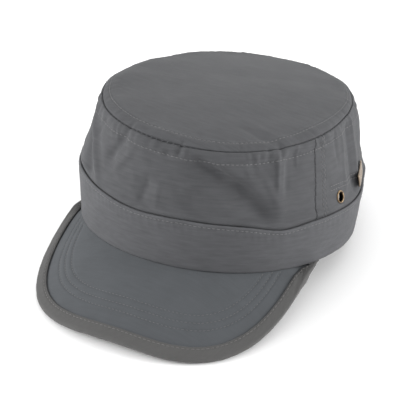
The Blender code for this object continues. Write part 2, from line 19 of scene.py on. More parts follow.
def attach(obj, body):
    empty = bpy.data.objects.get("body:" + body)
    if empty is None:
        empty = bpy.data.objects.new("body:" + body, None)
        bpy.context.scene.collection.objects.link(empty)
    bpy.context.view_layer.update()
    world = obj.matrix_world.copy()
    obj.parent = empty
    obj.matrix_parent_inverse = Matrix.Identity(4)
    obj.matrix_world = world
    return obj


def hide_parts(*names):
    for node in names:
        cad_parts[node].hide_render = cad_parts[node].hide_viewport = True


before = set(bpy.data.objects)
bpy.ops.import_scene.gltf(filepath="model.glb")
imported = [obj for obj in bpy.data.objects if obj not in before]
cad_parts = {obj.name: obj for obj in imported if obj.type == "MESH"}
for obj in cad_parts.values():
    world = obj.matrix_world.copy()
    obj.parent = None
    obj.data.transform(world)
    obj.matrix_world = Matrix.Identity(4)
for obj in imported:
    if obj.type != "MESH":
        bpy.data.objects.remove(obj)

Array = np.ndarray
LOG = logging.getLogger("patrol_cap")
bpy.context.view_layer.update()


def put(name: str, data: bpy.types.ID) -> bpy.types.Object:
    """A new object of some data, linked to the scene."""
    made = bpy.data.objects.new(name, data)
    bpy.context.scene.collection.objects.link(made)
    return made


def smooth(share: Array) -> Array:
    """Rise from 0 to 1 with level ends: three shares squared less two cubed."""
    share = np.clip(share, 0.0, 1.0)
    return share * share * (3 - 2 * share)


def bell(distance: Array, half_width: float) -> Array:
    """Bell curve, 1 at no distance and about a third at the half width."""
    return np.exp(-((distance / half_width) ** 2))


def between(first: Array, second: Array, share: Array) -> Array:
    """Straight mixture of two values or arrays."""
    return first + (second - first) * share


def unit(vectors: Array) -> Array:
    """The same directions with a length of one."""
    return vectors / np.maximum(np.linalg.norm(vectors, axis=-1, keepdims=True), 1e-12)


def around(angle: Array, middle: float) -> Array:
    """Signed angle from the middle, between -180 and 180."""
    return (angle - middle + 180) % 360 - 180


def pushed_out(points: Array, depth: Array) -> Array:
    """Points moved straight away from the cap's upright axis."""
    level = points * (1.0, 1.0, 0.0)
    return points + unit(level) * np.asarray(depth)[..., None]


def oval(
    angle: Array,
    half_width: Array,
    half_length: Array,
    power: float,
    fullness: float = 0.0,
    spread: Array = 1.0,
) -> Array:
    """Squarish oval in plan, |x/w|^p + |y/l|^p = 1, a little wider at the front.

    Args:
        angle: Angle round the cap.
        half_width: Half of the oval across the cap.
        half_length: Half of it from front to back.
        power: 2 is an ellipse and more is squarer.
        fullness: Share by which the front is wider.
        spread: Factor on the radius.

    Returns:
        Points with z = 0.
    """
    across, ahead = np.sin(np.radians(angle)), np.cos(np.radians(angle))
    reach = spread * (np.abs(across) ** power + np.abs(ahead) ** power) ** (-1 / power)
    x = half_width * reach * across * (1 + fullness * reach * ahead)
    y = -half_length * reach * ahead
    return np.stack(np.broadcast_arrays(x, y, 0.0 * x), axis=-1)


@dataclass(frozen=True)
class Brow:
    """The oval round the brow and the turned-up band that stands on it."""

    half_width: float = 0.0887
    half_length: float = 0.1011
    squareness: float = 2.08
    fullness: float = 0.045
    height: float = 0.0311
    flare: float = 0.0021
    dip: float = 0.0030
    cloth: float = 0.0016
    gap: float = 0.0003
    # angle, half width in degrees, depth as a share of the band's height
    sags: tuple = ((-46.0, 12.0, -0.051), (-8.0, 14.0, 0.064), (47.0, 9.0, 0.096))
    # angle, half width in degrees, depth as a share of the brow's half width
    dents: tuple = ((108.0, 14.0, 0.034),)

    def oval(self, angle: Array, outwards: Array) -> Array:
        """The brow's oval with its dents, moved outwards by a distance."""
        spread = 1.0 + 0.0 * angle
        for middle, half_width, depth in self.dents:
            spread = spread - depth * bell(around(angle, middle), half_width)
        return oval(
            angle,
            self.half_width + outwards,
            self.half_length + outwards,
            self.squareness,
            self.fullness,
            spread,
        )

    def top(self, angle: Array) -> Array:
        """Height of the band's upper edge: level, less a tilt to one side and the sags."""
        height = self.height - self.dip * np.sin(np.radians(angle))
        for middle, half_width, depth in self.sags:
            height = height - depth * self.height * bell(around(angle, middle), half_width)
        return height

    def face(self, angle: Array, share: Array) -> Array:
        """Outer face of the band, from its lower edge at 0 to its upper edge at 1."""
        points = self.oval(angle, self.flare * share)
        points[..., 2] = self.top(angle) * share
        return points

    def angle_of(self, points: Array) -> Array:
        """Angle of the brow's oval towards points of the plan."""
        return np.degrees(
            np.arctan2(points[..., 0] / self.half_width, -points[..., 1] / self.half_length)
        )

    def beyond(self, points: Array) -> Array:
        """How far outside the band's face points of the plan lie."""
        edge = self.oval(self.angle_of(points), 0.0)
        return np.hypot(points[..., 0], points[..., 1]) - np.hypot(edge[..., 0], edge[..., 1])


@dataclass(frozen=True)
class Crown:
    """The wall and the flat top, which meet at a sewn seam on a rounded turn."""

    brow: Brow = field(default_factory=Brow)
    cloth: float = 0.0012
    half_width: float = 0.0730
    half_length: float = 0.0945
    squareness: float = 2.16
    forward: float = 0.0040
    front_height: float = 0.0762
    back_height: float = 0.0803
    hem_lift: float = 0.0010
    side_seam: float = 55.5
    side_seam_lean: float = 14.0
    turn_in: float = 0.0110
    turn_up: float = 0.0085
    turn_start: float = 0.95  # how far below the seam the turn starts, share of turn_up
    turn_seam: float = 38.0
    turn_fade: float = 50.0
    dome: float = 0.0030
    level_share: float = 0.16
    fold_start: float = 0.12
    fold_fade: float = 0.25  # share of its line over which a fold fades, each way
    # waves round, spread as cosine and sine, lift as cosine and sine, shares of the size
    waves: tuple = (
        (1, 0.0, 0.0, 0.0, -0.050),
        (2, 0.0, 0.0054, -0.020, -0.020),
        (3, -0.0086, -0.0117, 0.0, 0.0),
    )
    # angle 1, height 1, angle 2, height 2, half width, depth outwards, shares of the height
    folds: tuple = (
        (-56.0, 0.85, -36.0, 0.05, 0.13, -0.031),
        (-46.0, 0.85, -27.0, 0.05, 0.13, 0.027),
        (-17.0, 0.86, -26.0, 0.40, 0.13, -0.031),
        (-5.0, 0.40, -6.0, 0.00, 0.18, -0.027),
        (14.0, 0.35, 17.0, 0.00, 0.18, -0.027),
        (17.0, 0.80, 42.0, 0.08, 0.19, -0.067),
        (24.0, 0.90, 44.0, 0.42, 0.18, 0.022),
        (53.0, 0.95, 47.0, 0.20, 0.13, 0.040),
        (58.0, 0.95, 55.0, 0.60, 0.13, -0.031),
        (93.0, 0.92, 86.5, 0.00, 0.13, -0.027),
        (101.0, 0.90, 95.0, 0.10, 0.14, 0.022),
        (113.0, 0.95, 106.0, 0.45, 0.22, 0.045),
        (140.0, 0.90, 128.0, 0.20, 0.18, -0.036),
        (196.0, 0.85, 208.0, 0.15, 0.20, -0.036),
        (238.0, 0.90, 232.0, 0.25, 0.16, 0.031),
    )
    # the same for fine creases, which lie on top of the broad folds
    creases: tuple = (
        (50.8, 0.86, 48.0, 0.48, 0.032, 0.019),
        (52.8, 1.14, 52.4, 0.82, 0.046, -0.026),
        (54.5, 0.80, 51.0, 0.42, 0.050, -0.022),
        (60.0, 0.98, 58.0, 0.70, 0.030, 0.009),
        (17.5, 0.78, 27.5, 0.62, 0.055, -0.026),
        (24.5, 0.67, 35.5, 0.43, 0.085, -0.040),
        (32.5, 0.49, 42.0, 0.12, 0.120, -0.040),
        (21.5, 0.88, 35.0, 0.64, 0.060, 0.020),
        (44.0, 0.62, 47.0, 0.30, 0.060, 0.016),
        (3.0, 0.80, 11.0, 0.87, 0.045, -0.022),
        (10.5, 1.08, 9.5, 0.80, 0.046, -0.020),
        (13.0, 0.96, 12.5, 0.72, 0.034, 0.014),
        (47.8, 1.06, 46.4, 0.80, 0.046, -0.020),
        (43.0, 1.00, 42.0, 0.84, 0.030, 0.014),
        (-16.2, 1.07, -17.0, 0.82, 0.044, -0.021),
        (-17.0, 0.84, -25.0, 0.42, 0.060, -0.024),
        (-12.0, 0.70, -20.5, 0.36, 0.055, 0.016),
        (-56.0, 0.80, -37.0, 0.10, 0.070, -0.028),
        (-45.5, 0.84, -29.0, 0.12, 0.055, 0.026),
        (-38.0, 0.70, -27.0, 0.20, 0.080, -0.014),
        (-40.0, 0.12, -64.0, 0.20, 0.160, 0.030),
        (-92.0, 0.26, -112.0, 0.22, 0.240, 0.030),
        (-3.0, 0.44, -6.5, 0.06, 0.060, -0.018),
        (1.5, 0.42, 0.5, 0.08, 0.055, 0.012),
        (94.5, 0.90, 89.0, 0.06, 0.060, -0.020),
        (99.0, 0.92, 94.0, 0.12, 0.050, 0.018),
        (-62.0, 0.70, -50.0, 0.05, 0.040, -0.012),
        (-78.0, 0.95, -74.0, 0.10, 0.050, -0.014),
        (-84.0, 0.90, -82.0, 0.15, 0.045, 0.012),
        (-31.0, 0.95, -39.0, 0.45, 0.045, -0.012),
        (-24.0, 0.98, -21.0, 0.60, 0.040, 0.008),
        (36.0, 1.00, 38.0, 0.62, 0.040, 0.010),
        (-12.0, 0.30, -4.0, 0.02, 0.060, 0.010),
        (82.0, 1.00, 80.0, 0.55, 0.045, -0.012),
        (88.0, 0.85, 82.0, 0.20, 0.045, 0.012),
        (112.0, 0.95, 120.0, 0.30, 0.060, -0.016),
        (126.0, 0.60, 118.0, 0.05, 0.050, 0.012),
        (158.0, 0.98, 165.0, 0.45, 0.050, -0.014),
        (178.0, 0.55, 172.0, 0.05, 0.060, -0.014),
        (215.0, 0.98, 222.0, 0.50, 0.050, -0.014),
        (246.0, 0.70, 254.0, 0.10, 0.050, -0.012),
        (262.0, 0.98, 259.0, 0.40, 0.045, 0.010),
        (285.0, 0.80, 278.0, 0.10, 0.050, -0.012),
    )
    # the same for the top, where heights go on from 1 at the seam
    top_creases: tuple = (
        (54.0, 1.00, 38.0, 1.55, 0.075, -0.014),
        (61.0, 1.00, 47.0, 1.50, 0.070, 0.010),
        (-8.0, 1.00, -11.0, 1.25, 0.060, -0.007),
        (20.0, 1.00, 16.0, 1.30, 0.060, -0.006),
    )

    @property
    def band_share(self) -> float:
        """Share of the wall that is behind the band."""
        return self.brow.height / self.front_height

    @property
    def turn_share(self) -> float:
        """Share of the wall at which it starts to turn over."""
        return 1 - self.turn_up * self.turn_start / self.front_height

    @property
    def turn_height(self) -> float:
        """The same as a height of the folds, 0 at the band and 1 at the seam."""
        return (self.turn_share - self.band_share) / (1 - self.band_share)

    def rim_waves(self, angle: Array) -> tuple[Array, Array]:
        """Factor and lift of the top's seam, as sums of cosines and sines of the angle."""
        spread, lift = 1.0 + 0.0 * angle, 0.0 * angle
        for turns, spread_cos, spread_sin, lift_cos, lift_sin in self.waves:
            cosine, sine = np.cos(np.radians(turns * angle)), np.sin(np.radians(turns * angle))
            spread = spread + spread_cos * cosine + spread_sin * sine
            lift = lift + (lift_cos * cosine + lift_sin * sine) * self.front_height
        return spread, lift

    def rim(self, angle: Array, inwards: Array, upwards: Array) -> Array:
        """Point beside the top's seam, moved inwards and upwards from it."""
        spread, lift = self.rim_waves(angle)
        points = oval(
            angle,
            self.half_width - inwards,
            self.half_length - inwards,
            self.squareness,
            spread=spread,
        )
        back = 0.5 + points[..., 1] / (2 * self.half_length)
        points[..., 2] = between(self.front_height, self.back_height, back) + lift + upwards
        points[..., 1] -= self.forward
        return points

    def fold_sum(self, table: tuple, angle: Array, height: Array) -> Array:
        """Depth of the folds at points of the wall.

        Each row adds a bell curve of the distance from its line, faded beyond both ends.

        Args:
            table: Rows of two ends, half width and depth.
            angle: Angle round the cap.
            height: 0 at the band's upper edge and 1 at the seam.

        Returns:
            Distance outwards, in metres.
        """
        scale = math.radians(1) * self.brow.half_length
        tall, fade = self.front_height - self.brow.height, self.fold_fade
        depth = 0.0 * (angle + height)
        for angle_1, height_1, angle_2, height_2, half_width, out in table:
            start_x, start_y = around(angle, angle_1) * scale, (height - height_1) * tall
            line_x, line_y = (angle_2 - angle_1) * scale, (height_2 - height_1) * tall
            along = (start_x * line_x + start_y * line_y) / (line_x**2 + line_y**2)
            beside = np.hypot(start_x - line_x * along, start_y - line_y * along)
            ends = smooth((along + fade) / (2 * fade)) * smooth((1 + fade - along) / (2 * fade))
            depth = depth + out * tall * ends * bell(beside, half_width * tall)
        return depth

    def depth(self, angle: Array, height: Array) -> Array:
        """Depth of the broad folds, in metres outwards."""
        return self.fold_sum(self.folds, angle, height)

    def turn(self, angle: Array, turned: Array) -> Array:
        """Rounded turn between wall and top: a quarter ellipse, with the folds faded out."""
        seam, here = math.radians(self.turn_seam), np.radians(turned)
        inwards = self.turn_in * (math.cos(seam) - np.cos(here))
        upwards = self.turn_up * (np.sin(here) - math.sin(seam))
        height = between(self.turn_height, 1.0, np.minimum(1.0, turned / self.turn_seam))
        points = self.rim(angle, inwards, upwards)
        return pushed_out(
            points, self.depth(angle, height) * (1 - smooth(turned / self.turn_fade))
        )

    def wall(self, angle: Array, share: Array) -> Array:
        """Outer face of the wall: behind the band, then straight with folds, then turning.

        Args:
            angle: Angle round the cap.
            share: 0 at the hem, 1 at the top's seam.

        Returns:
            Points of the outer face.
        """
        brow = self.brow
        rise = np.clip(share / self.band_share, 0, 1)
        hidden = brow.oval(angle, brow.flare * rise - brow.cloth - brow.gap)
        hidden[..., 2] = between(self.hem_lift, brow.top(angle), rise)
        edge = brow.oval(angle, brow.flare - brow.cloth - brow.gap)
        edge[..., 2] = brow.top(angle)
        rise = np.clip((share - self.band_share) / (self.turn_share - self.band_share), 0, 1)
        height = rise * self.turn_height
        shoulder = self.turn(angle, 0.0 * height)
        shoulder = pushed_out(shoulder, -self.depth(angle, self.turn_height + 0.0 * height))
        bare = between(edge, shoulder, rise[..., None])
        middle = pushed_out(bare, self.depth(angle, height) * smooth(height / self.fold_start))
        rise = np.clip((share - self.turn_share) / (1 - self.turn_share), 0, 1)
        turning = self.turn(angle, self.turn_seam * rise)
        inner = np.where((share <= self.band_share)[..., None], hidden, middle)
        return np.where((share > self.turn_share)[..., None], turning, inner)

    def top(self, angle: Array, share: Array) -> Array:
        """Outer face of the top: the turn from the seam, then a low dome to the middle.

        Args:
            angle: Angle round the cap.
            share: 0 at the seam, 1 in the middle.

        Returns:
            Points of the outer face.
        """
        turned = between(self.turn_seam, 90.0, np.clip(share / self.level_share, 0, 1))
        rounded = self.turn(angle, turned)
        outer = self.turn(angle, 90.0 + 0.0 * share)
        near = 1 - np.clip((share - self.level_share) / (1 - self.level_share), 0, 1)
        flat = outer * (1.0, 1.0, 0.0)
        points = between(np.array((0.0, -self.forward, 0.0)), flat, near[..., None])
        back = 0.5 + (points[..., 1] + self.forward) / (2 * self.half_length)
        level = between(self.front_height, self.back_height, back)
        level = level + self.turn_up * (1 - math.sin(math.radians(self.turn_seam)))
        lift = self.rim_waves(angle)[1]
        points[..., 2] = level + lift * near**2 + self.dome * (1 - near**2)
        return np.where((share < self.level_share)[..., None], rounded, points)

    def seam_angle(self, share: Array) -> Array:
        """Angle of the side seam at a share of the wall's height."""
        return self.side_seam + self.side_seam_lean * share


@dataclass
class Peak:
    """The bent board and the binding that is folded round its edge."""

    brow: Brow = field(default_factory=Brow)
    half_width: float = 0.0836
    reach: float = 0.0989
    widest: float = 0.0469
    squareness: float = 2.74
    thickness: float = 0.0020
    slope: float = 0.695
    arch: float = 0.3461
    arch_ease: float = 0.0773
    level_back: float = 0.050
    level_blend: float = 0.010
    end_blend: float = 0.0020
    end_far: float = 0.0140
    end_near: float = 0.0030
    tuck: float = 0.0036
    binding_width: float = 0.0062
    binding_cloth: float = 0.0010
    binding_gap: float = 0.0006
    binding_turn: float = 0.0006
    binding_flap: float = 0.35
    binding_least: float = 0.35
    binding_meets: float = 0.0003  # how near to the band its inner edge runs
    table_press: float = 0.0008
    halvings: int = 24
    ends_between: tuple = (45.0, 99.0)  # turns of the plan between which its ends are sought
    plan_points: int = 801
    rim_points: int = 141
    rim_step: float = 0.02  # share of the board that shows which way its edge faces
    # places round the binding and along it where the lowest point is sought
    press_rows: tuple = (0.5, 0.575, 0.65, 0.825, 1.0)
    press_columns: int = 45

    def __post_init__(self) -> None:
        """Work out the plan's ends, its even places and the rim once."""
        outside, inside = self.ends_between
        for _ in range(self.halvings):
            middle = (outside + inside) / 2
            if self.brow.beyond(self.plan(np.array(middle))) > -self.brow.cloth:
                outside = middle
            else:
                inside = middle
        turned = np.linspace(-outside, outside, self.plan_points)
        plan = self.plan(turned)
        steps = np.linalg.norm(np.diff(plan, axis=0), axis=1)
        run = np.concatenate([[0.0], np.cumsum(steps)])
        self.places = (2 * run / run[-1] - 1, turned)
        self.end_angle = float(self.brow.angle_of(plan[-1]))
        self.rim_line = self.board(np.linspace(-1, 1, self.rim_points), 1.0)

    @property
    def bound(self) -> float:
        """Room that the binding takes outside the board."""
        return self.binding_gap + self.binding_cloth

    def plan(self, turned: Array) -> Array:
        """Rim in plan, a superellipse: signed powers of sine and cosine of the turn."""
        sine, cosine = np.sin(np.radians(turned)), np.cos(np.radians(turned))
        across = np.sign(sine) * np.abs(sine) ** (2 / self.squareness)
        ahead = np.sign(cosine) * np.abs(cosine) ** (2 / self.squareness)
        x = (self.half_width - self.bound) * across
        y = -self.widest - (self.reach - self.bound) * ahead
        return np.stack(np.broadcast_arrays(x, y, 0.0 * x), axis=-1)

    def fall(self, points: Array) -> Array:
        """Height of the bent board: a slope forwards, less an arch of x squared."""
        beyond = -points[..., 1] - self.brow.half_length
        ahead = beyond + self.level_back
        beyond = (ahead + np.hypot(ahead, self.level_blend)) / 2 - self.level_back
        arch = self.arch - self.arch_ease * beyond / self.half_width
        return -self.slope * beyond - arch * points[..., 0] ** 2 / self.half_width

    def board(self, share: Array, outwards: Array) -> Array:
        """Upper face of the board, straight in plan from the hinge to the rim.

        Args:
            share: -1 to 1 from side to side, by length of rim.
            outwards: 1 at the rim, 0 under the band's edge, -1 at the hidden root.

        Returns:
            Points of the upper face.
        """
        share, outwards = np.broadcast_arrays(np.asarray(share, float), outwards)
        rim = self.plan(np.interp(share, *self.places))
        near = self.end_far - self.brow.beyond(rim)
        end = smooth(near / (self.end_far - self.end_near))
        end_level = -self.brow.gap - self.bound
        level = between(-self.brow.gap, end_level, end)
        hinge = self.brow.oval(self.end_angle * share, -self.brow.cloth / 2 - self.tuck * end)
        root = self.brow.oval(self.end_angle * share, -self.tuck * (1 + end))
        hidden = between(hinge, root, np.clip(-outwards, 0, 1)[..., None])
        hidden[..., 2] = level
        out = np.clip(outwards, 0, 1)
        shown = between(hinge, rim, out[..., None])
        below = end_level - self.fall(rim)
        rim_height = end_level - (below + np.hypot(below, self.end_blend)) / 2
        lifted = between(level - self.fall(hinge), rim_height - self.fall(rim), out)
        shown[..., 2] = lifted + self.fall(shown)
        return np.where((outwards < 0)[..., None], hidden, shown)

    def normal(self, share: Array, outwards: Array) -> Array:
        """Upward normal of the board, from two short steps along it."""
        step = 1e-3
        inner = np.minimum(outwards, 1 - step)
        across = self.board(share + step, outwards) - self.board(share - step, outwards)
        ahead = self.board(share, inner + step) - self.board(share, inner)
        normal = unit(np.cross(across, ahead))
        return normal * np.where(normal[..., 2:] > 0, 1.0, -1.0)

    def to_rim(self, points: Array) -> Array:
        """Distance to the rim: the least over its short straight stretches."""
        flat = points.reshape(-1, 1, 3) - self.rim_line[:-1]
        line = np.diff(self.rim_line, axis=0)
        along = np.clip((flat * line).sum(-1) / (line * line).sum(-1), 0, 1)
        away = np.linalg.norm(flat - along[..., None] * line, axis=-1)
        return away.min(axis=1).reshape(points.shape[:-1])

    def binding_reach(self, share: Array) -> Array:
        """Place on the board of the binding's inner edge, found by halving."""
        inner, outer = self.binding_least + 0.0 * share, 1.0 + 0.0 * share
        runs_under = self.brow.beyond(self.board(share, 1.0)) < self.end_near
        for _ in range(self.halvings):
            middle = (inner + outer) / 2
            points = self.board(share, middle)
            covered = (self.brow.beyond(points) < self.binding_meets) & ~runs_under
            inside = (self.to_rim(points) > self.binding_width) | covered
            inner, outer = np.where(inside, middle, inner), np.where(inside, outer, middle)
        return inner

    def binding(self, share: Array, round_share: Array) -> Array:
        """Outer face of the binding: a flap above, an elliptical turn and a flap below.

        Args:
            share: -1 to 1 from side to side, one value for each column.
            round_share: 0 at the upper inner edge to 1 at the lower one, for each row.

        Returns:
            Points, a row for each round share and a column for each share.
        """
        reach, rows = self.binding_reach(share), round_share[:, None]
        rim, normal = self.board(share, 1.0), self.normal(share, 1.0 + 0.0 * share)
        outwards = rim - self.board(share, 1 - self.rim_step)
        outwards = unit(outwards - normal * (outwards * normal).sum(-1, keepdims=True))
        flap, half = self.binding_flap, self.thickness / 2
        turned = math.pi * np.clip((rows - flap) / (1 - 2 * flap), 0, 1)
        up = (half + self.bound) * np.cos(turned) - half
        out = (self.bound + self.binding_turn) * np.sin(turned)
        turn = rim + normal * up[..., None] + outwards * out[..., None]
        run = np.clip(np.minimum(rows, 1 - rows) / flap, 0, 1)
        place = between(reach, 1.0, run)
        lift = np.where(rows < 0.5, self.bound, -(self.thickness + self.bound))
        shares = np.broadcast_to(share, place.shape)
        flaps = self.board(shares, place) + self.normal(shares, place) * lift[..., None]
        on_turn = (rows >= flap) & (rows <= 1 - flap)
        return np.where(on_turn[..., None], turn, flaps)

    def placement(self) -> Array:
        """Matrix from the cap's frame to the world.

        The cap leans back until the lowest points of the binding and the back of the band,
        pressed a little, reach the table.

        Returns:
            A 4 by 4 matrix.
        """
        low = self.binding(np.linspace(-1, 1, self.press_columns), np.array(self.press_rows))
        away = np.stack((self.brow.half_length - low[..., 1], -low[..., 2]))
        press = np.arcsin(self.table_press / np.linalg.norm(away, axis=0))
        lean = float((np.arctan2(away[1], away[0]) + press).max())
        tilt = Matrix.Rotation(-lean, 4, "X")
        lift = self.brow.half_length * math.sin(lean) - self.table_press
        tip = self.binding(np.zeros(1), np.array([0.5]))[0, 0]
        back = self.brow.face(np.array(180.0), np.array(1.0))
        turned = np.array(tilt)[:3, :3]
        middle = ((turned @ tip)[1] + (turned @ back)[1]) / 2
        return np.array(Matrix.Translation((0, -middle, lift)) @ tilt)


@dataclass(frozen=True)
class Ripples:
    """Puckers along a seam and the faint unevenness of soft cloth."""

    count: int = 84
    least: float = 0.00006
    # angle, half width in degrees, height of the puckers in metres
    strong: tuple = (
        (-52.0, 14.0, 0.00026),
        (-26.0, 8.0, 0.00016),
        (-5.0, 8.0, 0.00014),
        (12.0, 6.0, 0.00014),
        (41.0, 8.0, 0.00034),
        (50.0, 5.0, 0.00030),
        (74.0, 8.0, 0.00026),
        (112.0, 16.0, 0.00030),
        (165.0, 20.0, 0.00030),
        (214.0, 16.0, 0.00032),
        (262.0, 16.0, 0.00034),
    )
    # turns round, swing in radians and start, for their uneven spacing
    swings: tuple = ((3, 3.1, 0.7), (7, 2.2, 2.1), (13, 1.9, 4.0))
    # distance from the seam, half width and strength
    reach: tuple = ((0.0030, 0.0034, 1.0), (0.0090, 0.0050, 0.35))
    # how the heights differ: middle, swing, turns of it for each pucker, start
    differ: tuple = (0.75, 0.55, 0.31, 0.9)
    # a second wave: its turns for each pucker, start and strength
    second: tuple = (0.53, 1.3, 0.7)
    bend: float = 0.05  # turn of the slant for each degree

    def height(self, angle: Array) -> Array:
        """Height of the puckers round the seam: the least, and the strong stretches."""
        height = self.least + 0.0 * angle
        for middle, half_width, extra in self.strong:
            height = height + extra * bell(around(angle, middle), half_width)
        middle, swing, turns, start = self.differ
        return height * (middle + swing * np.sin(turns * self.phase(angle) + start))

    def phase(self, angle: Array) -> Array:
        """Uneven spacing round the seam: even turns, plus three slow swings."""
        turn = np.radians(angle)
        phase = self.count * turn
        for turns, swing, start in self.swings:
            phase = phase + swing * np.sin(turns * turn + start)
        return phase

    def seam(self, angle: Array, away: Array, slant: float) -> Array:
        """Puckers beside the seam: a wave along it, strongest a little away from it.

        Args:
            angle: Angle round the cap.
            away: Distance from the seam, in metres.
            slant: How far the puckers run aslant, in turns for each metre.

        Returns:
            Height outwards, in metres.
        """
        phase, aslant = self.phase(angle), slant * away * math.pi
        turns, start, strength = self.second
        wave = np.sin(phase + 2 * aslant * np.cos(self.bend * angle))
        other = np.sin(turns * phase + start - aslant)
        reach = sum(share * bell(away - middle, width) for middle, width, share in self.reach)
        return self.height(angle) * (wave + strength * other) * reach

    @staticmethod
    def uneven(first: Array, second: Array, size: float, seed: int) -> Array:
        """Soft unevenness: a sum of sines of two lengths, in directions drawn from a seed.

        Args:
            first: One coordinate, in metres.
            second: The other one.
            size: Length of the waves.
            seed: Seed of the draw.

        Returns:
            A value of about -1 to 1.
        """
        waves, shortest, longest, spread = 9, 0.6, 1.7, 4.0
        draw = np.random.default_rng(seed)
        total = 0.0 * (first + second)
        for _ in range(waves):
            turned, start = draw.uniform(0, math.pi), draw.uniform(0, 2 * math.pi)
            wave = 2 * math.pi / (size * draw.uniform(shortest, longest))
            along = first * math.cos(turned) + second * math.sin(turned)
            total = total + np.sin(wave * along + start)
        return total / spread


class Face(Enum):
    """The two faces of the peak, by the sign of their normal."""

    UPPER = 1.0
    LOWER = -1.0


def grid_normals(points: Array, closed: bool) -> Array:
    """Normals of a grid: the step across the columns, crossed with the step up the rows.

    Args:
        points: Rows by columns by 3.
        closed: Whether the last column meets the first.

    Returns:
        Unit vectors, rows by columns by 3.
    """
    up = np.gradient(points, axis=0)
    if closed:
        across = np.roll(points, -1, axis=1) - np.roll(points, 1, axis=1)
    else:
        across = np.gradient(points, axis=1)
    return unit(np.cross(across, up))


def run_lengths(points: Array, axis: int) -> Array:
    """Length run along the rows or columns of a grid, from 0 at the first."""
    steps = np.linalg.norm(np.diff(points, axis=axis), axis=-1)
    start = np.zeros_like(np.take(steps, [0], axis=axis))
    return np.concatenate([start, np.cumsum(steps, axis=axis)], axis=axis)


def grid_quads(rows: int, columns: int, loop: bool, closed: bool) -> Array:
    """Quads of a grid of vertices.

    Args:
        rows: How many rows it has.
        columns: How many columns.
        loop: Whether the last row meets the first.
        closed: Whether the last column meets the first.

    Returns:
        Vertex numbers, quads by 4, row after row.
    """
    row = np.arange(rows if loop else rows - 1)[:, None]
    column = np.arange(columns if closed else columns - 1)[None, :]
    here, below, beyond = row * columns, (row + 1) % rows * columns, (column + 1) % columns
    corners = (here + column, here + beyond, below + beyond, below + column)
    return np.stack(corners, axis=-1).reshape(-1, 4)


def on_line(run: Array, values: Array, at: Array) -> Array:
    """Values along a line at lengths run, by straight interpolation."""
    return np.stack([np.interp(at, run, values[:, k]) for k in range(3)], axis=-1)


def flattened(points: Array, factor: Array) -> Array:
    """Points with their height times a factor for each column."""
    return np.concatenate([points[..., :2], points[..., 2:] * factor[:, None]], axis=-1)


def looped(lines: tuple[Array, Array]) -> tuple[Array, Array]:
    """The line and its normals, each with its first row again at the end."""
    return tuple(np.concatenate([line, line[:1]]) for line in lines)


def trace(points: Array, normals: Array, values: Array, level: float) -> tuple[Array, Array]:
    """Line on a grid where a value that grows up the rows reaches a level.

    Each column is cut where the value passes the level, by straight interpolation.

    Args:
        points: Rows by columns by 3.
        normals: The same for the normals.
        values: Rows by columns.
        level: The value to find.

    Returns:
        Points and normals, for the columns that reach it.
    """
    above = (values < level).sum(axis=0)
    columns = np.flatnonzero((above > 0) & (above < len(values)))
    high = above[columns]
    low = high - 1
    first, second = values[low, columns], values[high, columns]
    share = ((level - first) / np.maximum(second - first, 1e-12))[:, None]
    line = between(points[low, columns], points[high, columns], share)
    return line, unit(between(normals[low, columns], normals[high, columns], share))


